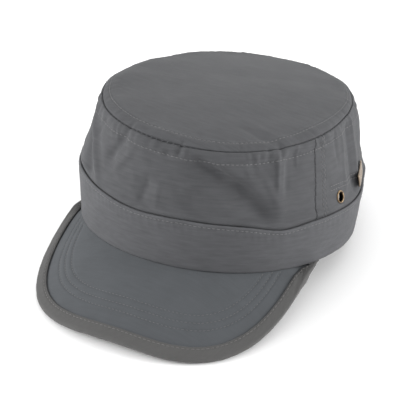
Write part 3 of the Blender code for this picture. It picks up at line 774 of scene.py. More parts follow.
@dataclass
class Pieces:
    """Puts surfaces into the scene, in the world's place."""

    placement: Array
    edge: float = 0.35  # how far a free edge rounds outwards, share of the thickness

    def place(self, points: Array) -> Array:
        """Points moved from the cap's frame to the world."""
        return points @ self.placement[:3, :3].T + self.placement[:3, 3]

    def above(self, points: Array, clear: float) -> Array:
        """Points of the cap, lifted where they would be lower than this over the table."""
        under = np.maximum(clear - self.place(points)[..., 2], 0.0)
        return points + under[..., None] * self.placement[2, :3]

    def add(
        self,
        name: str,
        points: Array,
        faces: list[Array],
        uvs: list[Array],
        finish: bpy.types.Material,
        wear_and_shade: Array | None = None,
    ) -> bpy.types.Object:
        """Make a mesh object that rides on the cap.

        Args:
            name: Name of the piece.
            points: Vertices in the cap's frame.
            faces: Arrays of vertex indices, faces by corners.
            uvs: Texture places in metres, faces by corners by 2, for each array of faces.
            finish: Its material.
            wear_and_shade: Wear of each vertex, 0 to 1, which on the brass is painted shade.

        Returns:
            The object.
        """
        used = np.unique(np.concatenate([part.ravel() for part in faces]))
        number = np.zeros(len(points), int)
        number[used] = np.arange(len(used))
        rows = [row for part in faces for row in number[part].tolist()]
        mesh = bpy.data.meshes.new(name)
        mesh.from_pydata(self.place(points[used]).tolist(), [], rows)
        layer = mesh.uv_layers.new(name="cloth")
        corners = np.concatenate([part.reshape(-1, 2) for part in uvs])
        layer.data.foreach_set("uv", corners.astype(np.float32).ravel())
        wear = mesh.attributes.new("wear_and_shade", "FLOAT", "POINT")
        values = np.zeros(len(used)) if wear_and_shade is None else wear_and_shade[used]
        wear.data.foreach_set("value", values.astype(np.float32))
        mesh.materials.append(finish)
        mesh.shade_smooth()
        piece = put(name, mesh)
        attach(piece, "root")
        triangles = sum(len(part) * (part.shape[1] - 2) for part in faces)
        LOG.info("%s: %d triangles", name, triangles)
        return piece

    def shell(
        self,
        name: str,
        outer: Array,
        thickness: float,
        closed: bool,
        flat: Array,
        finish: bpy.types.Material,
        wear_and_shade: Array | None = None,
        pole: bool = False,
        squeeze: Array | None = None,
        open_cells: Array | None = None,
    ) -> bpy.types.Object:
        """A closed wall of cloth under a grid of its outer face.

        The inner face is the outer one moved in along its normals by the thickness. One
        more row halfway rounds each free edge. A pole closes the last rows to a point.

        Args:
            name: Name of the piece.
            outer: Outer face, rows by columns by 3.
            thickness: Thickness of the cloth.
            closed: Whether the last column meets the first.
            flat: Texture places in metres, rows by columns by 2, one column more if closed.
            finish: Its material.
            wear_and_shade: Wear of the outer face, rows by columns.
            pole: Whether the last row is a single point.
            squeeze: Factor on the depth under the brow's edge, for each column.
            open_cells: Cells of an open grid that are left out, with walls round them.

        Returns:
            The object.
        """
        rows, columns = outer.shape[:2]
        normals = grid_normals(outer, closed)
        if pole:
            normals[-1] = unit(normals[-2].mean(axis=0))
        inner = outer - normals * thickness
        wear = np.zeros((rows, columns)) if wear_and_shade is None else wear_and_shade
        bulge = thickness * self.edge
        first = (outer[0] + inner[0]) / 2 - unit(outer[1] - outer[0]) * bulge
        last = (outer[-1] + inner[-1]) / 2 + unit(outer[-1] - outer[-2]) * bulge
        if pole:
            section = np.concatenate([inner[-2::-1], first[None], outer[:-1]])
            places = np.concatenate([flat[-2::-1], flat[:1], flat[:-1]])
            wears = np.concatenate([wear[-2::-1] * 0, wear[:1], wear[:-1]])
        else:
            section = np.concatenate([outer, last[None], inner[::-1], first[None]])
            places = np.concatenate([flat, flat[-1:], flat[::-1], flat[:1]])
            wears = np.concatenate([wear, wear[-1:], wear[::-1] * 0, wear[:1]])
        if squeeze is not None:
            section = flattened(section, squeeze)
        deep = len(section)
        quads = grid_quads(deep, columns, not pole, closed)
        uv = places.reshape(-1, 2)[grid_quads(deep, places.shape[1], not pole, False)]
        points, faces, uvs = section.reshape(-1, 3), [quads], [uv]
        if open_cells is not None:
            gone = np.zeros((deep, columns - 1), bool)
            gone[: rows - 1] = open_cells
            gone[rows + 1 : 2 * rows] = open_cells[::-1]
            faces, uvs = [quads[~gone.ravel()]], [uv[~gone.ravel()]]
            for wall in self.hole_walls(open_cells):
                wall_row, wall_column = wall[..., 0], wall[..., 1]
                faces.append(wall_row * columns + wall_column)
                uvs.append(places[wall_row, wall_column])
        if pole:
            ends = np.arange(columns)
            base, total = (deep - 1) * columns, deep * columns
            tip = np.stack([base + ends, base + (ends + 1) % columns, 0 * ends + total], axis=1)
            foot = np.stack([(ends + 1) % columns, ends, 0 * ends + total + 1], axis=1)
            points = np.concatenate([points, outer[-1, :1], inner[-1, :1]])
            wears = np.concatenate([wears.ravel(), [0.0, 0.0]])
            middle = flat[-1, :1] + 0 * flat[-2, :-1]
            tip_uv = np.stack([flat[-2, :-1], flat[-2, 1:], middle], axis=1)
            foot_uv = np.stack([flat[-2, 1:], flat[-2, :-1], middle], axis=1)
            faces += [tip, foot]
            uvs += [tip_uv, foot_uv]
        elif not closed:
            for at, turned in ((0, 1), (columns - 1, -1)):
                low = np.arange(rows - 1)
                caps = np.stack([low, low + 1, 2 * rows - low - 1, 2 * rows - low], axis=1)
                tips = np.array([[rows - 1, rows, rows + 1], [2 * rows, 2 * rows + 1, 0]])
                for part in (caps, tips):
                    faces.append((part * columns + at)[:, ::turned])
                    uvs.append(places[part, at][:, ::turned])
        return self.add(name, points, faces, uvs, finish, wears.ravel())

    @staticmethod
    def hole_walls(open_cells: Array) -> list[Array]:
        """Walls between the two faces of a shell, round the cells that are left out.

        Args:
            open_cells: The cells left out, one row and column fewer than the grid.

        Returns:
            For each side of a cell, quads as pairs of section row and column.
        """
        rows = len(open_cells) + 1
        walls = []
        sides = (
            ((-1, 0), ((0, 0), (0, 1))),
            ((1, 0), ((1, 1), (1, 0))),
            ((0, -1), ((1, 0), (0, 0))),
            ((0, 1), ((0, 1), (1, 1))),
        )
        for (up, aside), ends in sides:
            kept = ~np.roll(open_cells, (-up, -aside), axis=(0, 1))
            row, column = np.nonzero(open_cells & kept)
            (row_1, column_1), (row_2, column_2) = ends
            first = np.stack([row + row_1, column + column_1], axis=-1)
            second = np.stack([row + row_2, column + column_2], axis=-1)
            inner = (2 * rows, 0)
            under = (-1, 1)
            quad = [first, second, inner + second * under, inner + first * under]
            walls.append(np.stack(quad, axis=1))
        return walls


@dataclass(frozen=True)
class Thread:
    """Rows of machine stitches, each a short thread that dives into the cloth."""

    pitch: float = 0.0027
    length: float = 0.0021
    radius: float = 0.00024
    rise: float = 0.00016
    across: bool = False  # whether each stitch lies across the row
    rings: int = 5
    sides: int = 6
    look: float = 0.3  # how far ahead and behind the row's direction is read, share of pitch
    blunt: float = 1.04  # more than 1 leaves the ends a little open
    dive: float = 1.9  # fall of the ends, share of the rise

    def row(self, line: Array, normals: Array) -> tuple[Array, Array, Array]:
        """Stitches spaced evenly along a line.

        Each is a tube whose radius shrinks as the square root of one less the fourth power
        of the share of its half length, on a parabola above the cloth.

        Args:
            line: Points of the cloth's face along the row.
            normals: Its normals there.

        Returns:
            Vertices, the quads of the tubes and the hexagons at their ends.
        """
        run = run_lengths(line, 0)
        count = max(1, int(run[-1] / self.pitch))
        centres = (np.arange(count) + 0.5) * run[-1] / count
        step = self.pitch * self.look
        middle = on_line(run, line, centres)
        after, before = on_line(run, line, centres + step), on_line(run, line, centres - step)
        out = unit(on_line(run, normals, centres))
        ahead = unit(after - before)
        aside = unit(np.cross(out, ahead))
        out = np.cross(ahead, aside)
        if self.across:
            ahead, aside = aside, -ahead
        share = np.linspace(-1, 1, self.rings)
        turned = np.linspace(0, 2 * math.pi, self.sides, endpoint=False)
        radius = self.radius * np.sqrt(self.blunt - share**4)
        height = self.rise * (1 - self.dive * share**2)
        x = np.repeat(share * self.length / 2, self.sides)
        y = (radius[:, None] * np.cos(turned)).ravel()
        z = (height[:, None] + radius[:, None] * np.sin(turned)).ravel()
        points = (
            middle[:, None]
            + ahead[:, None] * x[:, None]
            + aside[:, None] * y[:, None]
            + out[:, None] * z[:, None]
        ).reshape(-1, 3)
        one = grid_quads(self.rings, self.sides, False, True)[:, [0, 3, 2, 1]]
        starts = np.arange(count) * self.rings * self.sides
        quads = (starts[:, None, None] + one).reshape(-1, 4)
        first = np.arange(self.sides)
        last = (self.rings - 1) * self.sides + first[::-1]
        ends = (starts[:, None, None] + np.stack([first, last])).reshape(-1, self.sides)
        return points, quads, ends

    def sew(
        self, pieces: Pieces, name: str, rows: list[tuple[Array, Array]], finish: bpy.types.Material
    ) -> bpy.types.Object:
        """Join rows of stitches into one piece.

        Args:
            pieces: Where to add it.
            name: Name of the piece.
            rows: Lines and normals.
            finish: Its material.

        Returns:
            The object.
        """
        made = [self.row(line, normals) for line, normals in rows]
        starts = np.cumsum([0] + [len(points) for points, _, _ in made])
        points = np.concatenate([part[0] for part in made])
        quads = np.concatenate([part[1] + start for part, start in zip(made, starts)])
        ends = np.concatenate([part[2] + start for part, start in zip(made, starts)])
        uv = points[:, :2]
        return pieces.add(name, points, [quads, ends], [uv[quads], uv[ends]], finish)


class Graph:
    """A material's nodes, added one by one with their inputs."""

    def __init__(self, name: str) -> None:
        """Start a material with its own surface shader."""
        self.material = bpy.data.materials.new(name)
        self.material.use_nodes = True
        self.tree = self.material.node_tree
        self.shader = self.tree.nodes["Principled BSDF"]

    def node(self, kind: str, options: dict | None = None, **inputs: object) -> bpy.types.Node:
        """Add a node.

        Args:
            kind: Blender's name of the node.
            options: Its settings.
            **inputs: Socket names, spaces as underscores, with a value or a socket.

        Returns:
            The node.
        """
        made = self.tree.nodes.new(kind)
        for key, value in (options or {}).items():
            setattr(made, key, value)
        for key, value in inputs.items():
            self.feed(made.inputs[key.replace("_", " ")], value)
        return made

    def feed(self, socket: bpy.types.NodeSocket, value: object) -> None:
        """Link a socket to another, or set its value."""
        if isinstance(value, bpy.types.NodeSocket):
            self.tree.links.new(value, socket)
        else:
            socket.default_value = value

    def surface(self, **inputs: object) -> None:
        """Feed the surface shader, by socket names with spaces as underscores."""
        for key, value in inputs.items():
            self.feed(self.shader.inputs[key.replace("_", " ")], value)

    def place(self, kind: str) -> bpy.types.NodeSocket:
        """A texture coordinate, UV or Object."""
        return self.node("ShaderNodeTexCoord").outputs[kind]

    def wear_and_shade(self) -> bpy.types.NodeSocket:
        """Wear of the cloth, and painted shade of the brass, that each vertex keeps in the attribute
        of this name.
        """
        return self.node("ShaderNodeAttribute", {"attribute_name": "wear_and_shade"}).outputs["Fac"]

    def drawn(
        self, place: bpy.types.NodeSocket, across: float, along: float
    ) -> bpy.types.NodeSocket:
        """A place times a factor in each direction of the cloth."""
        made = self.node("ShaderNodeMapping", Vector=place, Scale=(across, along, 1.0))
        return made.outputs[0]

    def noise(
        self, place: bpy.types.NodeSocket, scale: float, detail: float, roughness: float = 0.5
    ) -> bpy.types.NodeSocket:
        """A noise at a place."""
        return self.node(
            "ShaderNodeTexNoise", Vector=place, Scale=scale, Detail=detail, Roughness=roughness
        ).outputs["Fac"]

    def bands(
        self, place: bpy.types.NodeSocket, direction: str, length: float, **inputs: float
    ) -> bpy.types.NodeSocket:
        """Bands across a direction, X or Y, of a length in metres."""
        wave = 2 * math.pi / 20  # length of a band at a scale of one
        options = {"wave_type": "BANDS", "bands_direction": direction}
        made = self.node("ShaderNodeTexWave", options, Vector=place, Scale=wave / length, **inputs)
        return made.outputs["Fac"]

    def tint(self, colour: object, factor: bpy.types.NodeSocket) -> bpy.types.NodeSocket:
        """A colour, or a socket of one, times a factor."""
        made = self.node("ShaderNodeVectorMath", {"operation": "SCALE"}, Scale=factor)
        self.feed(made.inputs[0], colour)
        return made.outputs[0]

    def ranged(
        self, value: bpy.types.NodeSocket, low: float, high: float
    ) -> bpy.types.NodeSocket:
        """A share turned into a value between two others."""
        return self.node("ShaderNodeMapRange", Value=value, To_Min=low, To_Max=high).outputs[0]

    def bump(
        self, height: bpy.types.NodeSocket, distance: float, strength: float
    ) -> bpy.types.NodeSocket:
        """A normal that follows a height of 0 to 1, over a distance in metres."""
        made = self.node("ShaderNodeBump", Height=height, Distance=distance, Strength=strength)
        return made.outputs[0]

    def sum_of(
        self, *terms: tuple[bpy.types.NodeSocket, float], start: float = 0.0
    ) -> bpy.types.NodeSocket:
        """Weighted sum of outputs, on top of a start."""
        total = start
        for socket, weight in terms:
            made = self.node("ShaderNodeMath", {"operation": "MULTIPLY_ADD"})
            for slot, value in zip(made.inputs, (socket, weight, total)):
                self.feed(slot, value)
            total = made.outputs[0]
        return total


@dataclass(frozen=True)
class ClothFinish:
    """Thin cotton with faint ribs across, mottled a little and paler where it is worn."""

    name: str
    colour: tuple[float, float, float]
    rib: float = 0.00058  # lengths of the weave's bands
    warp: float = 0.00034
    weave_depth: float = 0.00010
    # shares of the brightness
    streaks: float = 0.34
    bars: float = 0.44
    mottle: float = 0.24
    ribs: float = 0.10
    warps: float = 0.05
    fuzz: float = 0.08
    wear: float = 0.22
    roughness: float = 0.84
    sheen: float = 0.05
    specular: float = 0.25

    def material(self) -> bpy.types.Material:
        """Build the material on the cloth's own texture places, which are metres."""
        graph = Graph(self.name)
        place = graph.place("UV")
        ribs = graph.bands(place, "Y", self.rib, Distortion=0.9, Detail=2.0, Detail_Scale=0.6)
        warps = graph.bands(place, "X", self.warp, Distortion=0.6, Detail=1.0)
        slub = graph.noise(graph.drawn(place, 70.0, 1300.0), 1.0, 3.0, 0.6)
        bar = graph.noise(graph.drawn(place, 75.0, 480.0), 1.0, 2.0)
        patch = graph.noise(place, 60.0, 5.0, 0.6)
        fuzz = graph.noise(place, 2600.0, 2.0, 0.7)
        parts = (
            (slub, self.streaks),
            (bar, self.bars),
            (patch, self.mottle),
            (ribs, self.ribs),
            (warps, self.warps),
            (fuzz, self.fuzz),
        )
        middle = sum(weight for _, weight in parts) / 2
        light = graph.sum_of(*parts, (graph.wear_and_shade(), self.wear), start=1 - middle)
        rough = graph.sum_of((slub, 0.10), (fuzz, 0.08), start=self.roughness - 0.09)
        height = graph.sum_of((ribs, 0.5), (warps, 0.25), (slub, 0.45), (fuzz, 0.25))
        graph.surface(
            Base_Color=graph.tint(self.colour, light),
            Roughness=rough,
            Specular_IOR_Level=self.specular,
            Sheen_Weight=self.sheen,
            Sheen_Roughness=0.45,
            Normal=graph.bump(height, self.weave_depth, 0.8),
        )
        return graph.material


@dataclass(frozen=True)
class ThreadFinish:
    """Sewing thread, a shade paler than the cloth, with a fine twist."""

    name: str
    colour: tuple[float, float, float]
    roughness: float = 0.62
    sheen: float = 0.1

    def material(self) -> bpy.types.Material:
        """Build the material on Object coordinates."""
        graph = Graph(self.name)
        twist = graph.noise(graph.place("Object"), 2400.0, 2.0)
        graph.surface(
            Base_Color=graph.tint(self.colour, graph.sum_of((twist, 0.5), start=0.75)),
            Roughness=self.roughness,
            Sheen_Weight=self.sheen,
            Normal=graph.bump(twist, 0.00006, 0.6),
        )
        return graph.material


@dataclass(frozen=True)
class BrassFinish:
    """Dull old brass, darker and rougher in blotches, and darkened by painted shade where it is
    hidden.
    """

    name: str
    colour: tuple[float, float, float]
    tarnish: tuple[float, float, float]
    spread: tuple[float, float] = (0.38, 0.62)  # of the noise, from tarnish to metal
    hidden: float = 0.04  # how bright the painted shade leaves it where it is hidden
    rough: tuple[float, float] = (0.55, 0.30)

    def material(self) -> bpy.types.Material:
        """Build the material on Object coordinates."""
        graph = Graph(self.name)
        place = graph.place("Object")
        blotch = graph.noise(place, 420.0, 5.0, 0.65)
        ramp = graph.node("ShaderNodeValToRGB", Fac=blotch)
        colours = (self.tarnish, self.colour)
        for end, at, colour in zip(ramp.color_ramp.elements, self.spread, colours):
            end.position, end.color = at, (*colour, 1.0)
        # painted shade: where the attribute is 1, the colour falls to the hidden share
        seen = graph.ranged(graph.wear_and_shade(), 1.0, self.hidden)
        graph.surface(
            Base_Color=graph.tint(ramp.outputs["Color"], seen),
            Roughness=graph.ranged(blotch, *self.rough),
            Metallic=1.0,
            Normal=graph.bump(graph.noise(place, 2600.0, 3.0, 0.7), 0.00004, 0.5),
        )
        return graph.material


@dataclass
class CrownCloth:
    """The crown's three panels of cloth, with their seams, puckers and stitches."""

    crown: Crown
    pieces: Pieces
    cloth: bpy.types.Material
    thread: bpy.types.Material
    ripples: Ripples = field(default_factory=Ripples)
    join: float = -0.00003  # half of what is left open between two sewn edges
    roll: float = 0.0010  # how far a sewn edge turns in
    roll_width: float = 0.00042
    eyelet_hole: float = 0.0036
    eyelet_reach: float = 0.0052
    top_row: float = 0.0072  # stitches on the top, from the seam, at the front
    top_row_behind: float = 0.0038
    wall_row: float = 0.0076
    # stitches behind the side seam, through the turned-in cloth
    side_rows: tuple = (0.0066, 0.0092)
    groove: float = 0.00022
    groove_width: float = 0.0008
    front_columns: int = 300
    back_columns: int = 470
    top_columns: int = 560
    overhang: float = 0.0011  # how far the wall swells over the band's edge
    seam_lift: float = 0.0006
    seam_out: float = 0.0002
    per_degree: float = 0.00176  # length of wall that the weave has for a degree
    pinch: float = 0.72  # how much closer a panel's columns stand at its edges
    crowding: float = 1.5  # power by which the rows crowd towards the seam
    # rows of a panel under the band, on the wall and on its half of the turn
    panel_rows: tuple = (5, 58, 22)
    # rows of the top on its half of the turn, near it and from there to the middle
    top_rows: tuple = (32, 14, 34)
    middle_share: float = 0.30  # where the last of these start
    shown_over: float = 0.10  # share of the wall over which its folds set in
    # depth, size and seed of the unevenness
    wall_uneven: tuple = ((0.00020, 0.020, 7), (0.00007, 0.0075, 8))
    top_uneven: tuple = ((0.00030, 0.045, 11), (0.00010, 0.014, 12), (0.00070, 0.060, 13))
    wall_slant: float = 55.0  # of the puckers
    top_slant: float = -60.0
    top_pucker: float = 0.42  # share of the wall's puckers that the top has
    top_lag: float = 4.0  # degrees between the puckers of the two
    overhang_place: tuple = (0.055, 0.05, 0.03)  # its middle, half width and start, as shares
    # waves beside the side seams: depth, reach, radians for a metre up and for a degree round
    side_pull: tuple = (0.00016, 0.003, 1100.0, 0.05)
    side_puff: tuple = (0.00010, 0.0012)  # of the turned-in cloth, its depth and half width
    # wear along the seam and along its row: strengths, distance from the seam, half width
    wear: tuple = (0.2, 0.15, 0.0018, 0.0012)
    near_rows: int = 60  # rows of the top in which its row of stitches is sought
    row_middle: float = 22.0  # where the top's row is furthest in, and the angles it eases over
    row_eases: tuple = (60.0, 100.0)
    # two low rows on the back panel: the angles between which they run, their height, and
    # how far they fall over how many degrees
    low_between: tuple = (72.0, 288.0)
    low_height: float = 0.0440
    low_fall: tuple = (0.0025, 21.0)
    low_rows: tuple = (0.0, 0.0024)
    low_at: int = 30  # row of the grid on which their ends are found
    rows_of_stitches: list = field(default_factory=list)
    seams: list = field(default_factory=list)

    def panel(self, name: str, start: float, end: float, columns: int, node: str) -> None:
        """One panel of the wall, between two side seams.

        Args:
            name: Name of the piece.
            start: 1 from the left seam, -1 from the right one.
            end: The same for its other edge, with 360 added if it goes round the back.
            columns: How many columns it has.
            node: The solid it stands for.
        """
        crown = self.crown
        under, wall, turn = self.panel_rows
        hidden = np.linspace(0, crown.band_share - 0.02, under)
        open_rows = np.linspace(crown.band_share - 0.01, crown.turn_share, wall)
        turn_rows = 1 - (1 - crown.turn_share) * np.linspace(1, 0, turn)[1:] ** self.crowding
        share = np.concatenate([hidden, open_rows, turn_rows])[:, None]
        seam = crown.seam_angle(share)
        first = start * seam if start < 0 or end > 1 else seam
        last = 360 - seam if end > 1 else end * seam
        even = np.linspace(0, 1, columns)[None, :]
        even = even - self.pinch * np.sin(2 * math.pi * even) / (2 * math.pi)
        slack = math.degrees(self.join / crown.brow.half_width)
        angle = between(first + slack, last - slack, even)
        share = np.broadcast_to(share, angle.shape)
        base = crown.wall(angle, share)
        normals = grid_normals(base, False)
        run = run_lengths(base, 0)
        down = run[-1] - run
        across = run_lengths(base, 1)
        back = across[:, -1:] - across
        height = (share - crown.band_share) / (1 - crown.band_share)
        shown = smooth(height / self.shown_over)
        depth = crown.fold_sum(crown.creases, angle, height) * shown
        depth += self.ripples.seam(angle, down, self.wall_slant) * shown
        for deep, size, seed in self.wall_uneven:
            depth += deep * shown * self.ripples.uneven(angle * self.per_degree, run, size, seed)
        middle, width, start = self.overhang_place
        depth += self.overhang * bell(height - middle, width) * smooth(height / start)
        depth -= self.roll * bell(down, self.roll_width)
        depth -= 0.6 * self.roll * (bell(across, self.roll_width) + bell(back, self.roll_width))
        depth -= self.groove * bell(down - self.wall_row, self.groove_width)
        for beside in (across, back):
            deep, reach, up, turn = self.side_pull
            depth += deep * bell(beside, reach) * np.sin(run * up + angle * turn) * shown
            if end > 1:
                for row in self.side_rows:
                    depth -= 0.8 * self.groove * bell(beside - row, self.groove_width) * shown
                deep, width = self.side_puff
                depth += deep * bell(beside - sum(self.side_rows) / 2, width) * shown
        outer = base + normals * depth[..., None]
        open_cells = None
        if end > 1:
            outer, open_cells = self.eyelet_holes(outer)
        flat = np.stack([across + angle[:, :1] * self.per_degree, run], axis=-1)
        wear_and_shade = self.wear_and_shade(down, down - self.wall_row)
        piece = self.pieces.shell(
            name, outer, crown.cloth, False, flat, self.cloth, wear_and_shade, open_cells=open_cells
        )
        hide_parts(node)
        self.stitch_panel(outer, run, across, back, angle)

    def wear_and_shade(self, away: Array, past_row: Array) -> Array:
        """Wear at distances from the top's seam and from the row of stitches beside it."""
        seam, row, start, width = self.wear
        return seam * bell(away - start, width) + row * bell(past_row, width)

    def eyelet_holes(self, outer: Array) -> tuple[Array, Array]:
        """Open a round hole for each eyelet.

        Points nearer than half the hole's radius go to its edge, and those further out are
        spread between it and the reach, in a straight proportion.

        Args:
            outer: Outer face of the panel.

        Returns:
            The face with its points moved, and the cells inside the holes.
        """
        start = self.eyelet_hole / 2
        inside = np.zeros(outer.shape[:2], bool)
        for angle in (Eyelets.angle, 360 - Eyelets.angle):
            centre, _, _, out = Eyelets.frame_at(self.crown, angle)
            away = outer - centre
            high = (away * out).sum(-1, keepdims=True) * out
            flat = away - high
            radius = np.linalg.norm(flat, axis=-1, keepdims=True)
            share = np.clip((radius - start) / (self.eyelet_reach - start), 0, 1)
            wanted = between(self.eyelet_hole, self.eyelet_reach, share)
            near = (radius < self.eyelet_reach) & (np.abs(high).max(-1, keepdims=True) < 0.01)
            outer = np.where(near, centre + high + unit(flat) * wanted, outer)
            inside |= (radius[..., 0] < start) & near[..., 0]
        cells = inside[:-1, :-1] & inside[1:, :-1] & inside[:-1, 1:] & inside[1:, 1:]
        return outer, cells

    def stitch_panel(
        self, outer: Array, run: Array, across: Array, back: Array, angle: Array
    ) -> None:
        """Lay the rows of stitches of a wall panel.

        Args:
            outer: Its outer face.
            run: Length from the hem, for each point.
            across: Length from its first edge.
            back: Length from its last edge.
            angle: Angle round the cap.
        """
        normals = grid_normals(outer, False)
        self.rows_of_stitches.append(trace(outer, normals, run - run[-1], -self.wall_row))
        shown = np.flatnonzero(outer[:, outer.shape[1] // 2, 2] > self.crown.brow.height * 0.9)
        upper = slice(shown[0], len(outer) - 6)
        if angle[0, -1] < 180:
            return
        sideways, sideways_out = outer[upper].swapaxes(0, 1), normals[upper].swapaxes(0, 1)
        for values, sign in ((across, 1.0), (-back, -1.0)):
            for row in self.side_rows:
                sewn = trace(sideways, sideways_out, values[upper].T, sign * row)
                self.rows_of_stitches.append(sewn)
        edges = np.stack([outer[upper, 0], outer[upper, -1]])
        outwards = np.stack([normals[upper, 2], normals[upper, -3]])
        self.seams += list(zip(edges + outwards * self.seam_lift, outwards))
        first, last = self.low_between
        behind = np.minimum(angle - first, last - angle)
        inside = slice(*np.flatnonzero(behind[self.low_at] > 0)[[0, -1]])
        fall, degrees = self.low_fall
        above = outer[..., 2] - self.low_height + fall * smooth(behind / degrees)
        for lower in self.low_rows:
            sewn = trace(outer[:, inside], normals[:, inside], above[:, inside], -lower)
            self.rows_of_stitches.append(sewn)

    def top(self) -> None:
        """The flat top with its half of the turn, closed to a point in the middle."""
        crown = self.crown
        turn, near, far = self.top_rows
        turn_rows = crown.level_share * np.linspace(0, 1, turn) ** self.crowding
        near_rows = np.linspace(crown.level_share, self.middle_share, near)[1:]
        far_rows = np.linspace(self.middle_share, 1, far)[1:]
        share = np.concatenate([turn_rows, near_rows, far_rows])[:, None]
        angle = np.linspace(0, 360, self.top_columns, endpoint=False)[None, :]
        angle, share = np.broadcast_arrays(angle, share)
        base = crown.top(angle, share)
        normals = grid_normals(base, True)
        normals[-1] = unit(normals[-2].mean(axis=0))
        away = run_lengths(base, 0)
        x, y = base[..., 0], base[..., 1]
        depth = self.top_pucker * self.ripples.seam(angle + self.top_lag, away, self.top_slant)
        strengths = (smooth(away / 0.020), 1 - share, bell(away, 0.022))
        for (deep, size, seed), strength in zip(self.top_uneven, strengths):
            depth += deep * self.ripples.uneven(x, y, size, seed) * strength
        depth -= self.roll * bell(away, self.roll_width)
        tall = crown.front_height - crown.brow.height
        depth += crown.fold_sum(crown.creases, angle, 1 + away / tall) * bell(away, 0.006)
        depth += crown.fold_sum(crown.top_creases, angle, 1 + away / tall)
        over, until = self.row_eases
        ahead = smooth((until - np.abs(around(angle, self.row_middle))) / over)
        past_row = away - between(self.top_row_behind, self.top_row, ahead)
        depth -= self.groove * bell(past_row, self.groove_width)
        depth[-1] = depth[-1, 0]
        outer = base + normals * depth[..., None]
        flat = np.stack([x, y], axis=-1)
        flat = np.concatenate([flat, flat[:, :1]], axis=1)
        wear_and_shade = self.wear_and_shade(away, past_row)
        piece = self.pieces.shell(
            "crown_top_cloth", outer, crown.cloth, True, flat, self.cloth, wear_and_shade, pole=True
        )
        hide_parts("crown_top")
        normals = grid_normals(outer, True)
        near = slice(0, self.near_rows)
        self.rows_of_stitches.append(looped(trace(outer[near], normals[near], past_row[near], 0.0)))
        outwards = unit(normals[3] * (1.0, 1.0, 0.0))
        line = outer[0] + normals[3] * self.seam_lift + outwards * self.seam_out
        self.seams.append(looped((line, unit(normals[3] + outwards))))

    def build(self) -> None:
        """Make the three panels and sew them."""
        self.top()
        self.panel("crown_front_cloth", -1, 1, self.front_columns, "crown_front")
        self.panel("crown_back_cloth", 1, 2, self.back_columns, "crown_back")
        sewn = Thread().sew(self.pieces, "crown_stitches", self.rows_of_stitches, self.thread)
        ties = Thread(pitch=0.0034, length=0.0017, radius=0.00033, rise=0.0001, across=True)
        ties.sew(self.pieces, "seam_ties", self.seams, self.cloth)


@dataclass
class BandCloth:
    """The band, folded double along its upper edge, with a row of stitches below it."""

    brow: Brow
    pieces: Pieces
    cloth: bpy.types.Material
    thread: bpy.types.Material
    ripples: Ripples = field(default_factory=Ripples)
    columns: int = 600
    rows: int = 44
    row_down: float = 0.0015
    groove: float = 0.00020
    groove_width: float = 0.0008
    puff: float = 0.00006
    table_slack: float = 0.00005
    crowding: float = 0.045  # how much closer the rows stand at both edges
    # slanted waves under the row of stitches: depth, middle and half width of the strip,
    # turns for each pucker and radians for a metre up
    drag: tuple = (0.00010, 0.004, 0.004, 1.4, 260.0)
    calm: float = 0.004  # how far up the unevenness sets in
    # depth, size and seed of the unevenness
    broad: tuple = (0.00022, 0.024, 21)
    fine: tuple = (0.00006, 0.009, 22)
    hem: float = 0.00030  # how far the lower edge turns in

    def build(self) -> None:
        """Make the band, flat where the table presses its back, and its stitches."""
        brow = self.brow
        even = np.linspace(0, 1, self.rows)
        share = (even + self.crowding * np.sin(2 * math.pi * even))[:, None]
        angle = np.linspace(-180, 180, self.columns, endpoint=False)[None, :]
        angle, share = np.broadcast_arrays(angle, share)
        base = brow.face(angle, share)
        normals = grid_normals(base, True)
        run = run_lengths(base, 0)
        down = run[-1] - run
        length = angle * math.radians(1) * brow.half_length
        deep, middle, width, turns, up = self.drag
        wave = np.sin(self.ripples.phase(angle) * turns + run * up)
        depth = deep * wave * bell(down - middle, width)
        deep, size, seed = self.broad
        depth += deep * self.ripples.uneven(length, run, size, seed) * smooth(run / self.calm)
        deep, size, seed = self.fine
        depth += deep * self.ripples.uneven(length, run * 2, size, seed)
        depth -= self.groove * bell(down - self.row_down, self.groove_width)
        depth += self.puff * bell(down - 0.0006, 0.0008)
        depth -= self.hem * bell(run, 0.0008)
        outer = self.pieces.above(base + normals * depth[..., None], self.table_slack)
        flat = np.stack([length, run], axis=-1)
        closing = flat[:, :1] + (2 * math.pi * brow.half_length, 0.0)
        flat = np.concatenate([flat, closing], axis=1)
        wear_and_shade = 0.4 * bell(down, 0.0010) + 0.2 * bell(run, 0.001)
        piece = self.pieces.shell("band_cloth", outer, brow.cloth, True, flat, self.cloth, wear_and_shade)
        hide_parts("band")
        normals = grid_normals(outer, True)
        row = looped(trace(outer, normals, run - run[-1], -self.row_down))
        Thread().sew(self.pieces, "band_stitches", [row], self.thread)


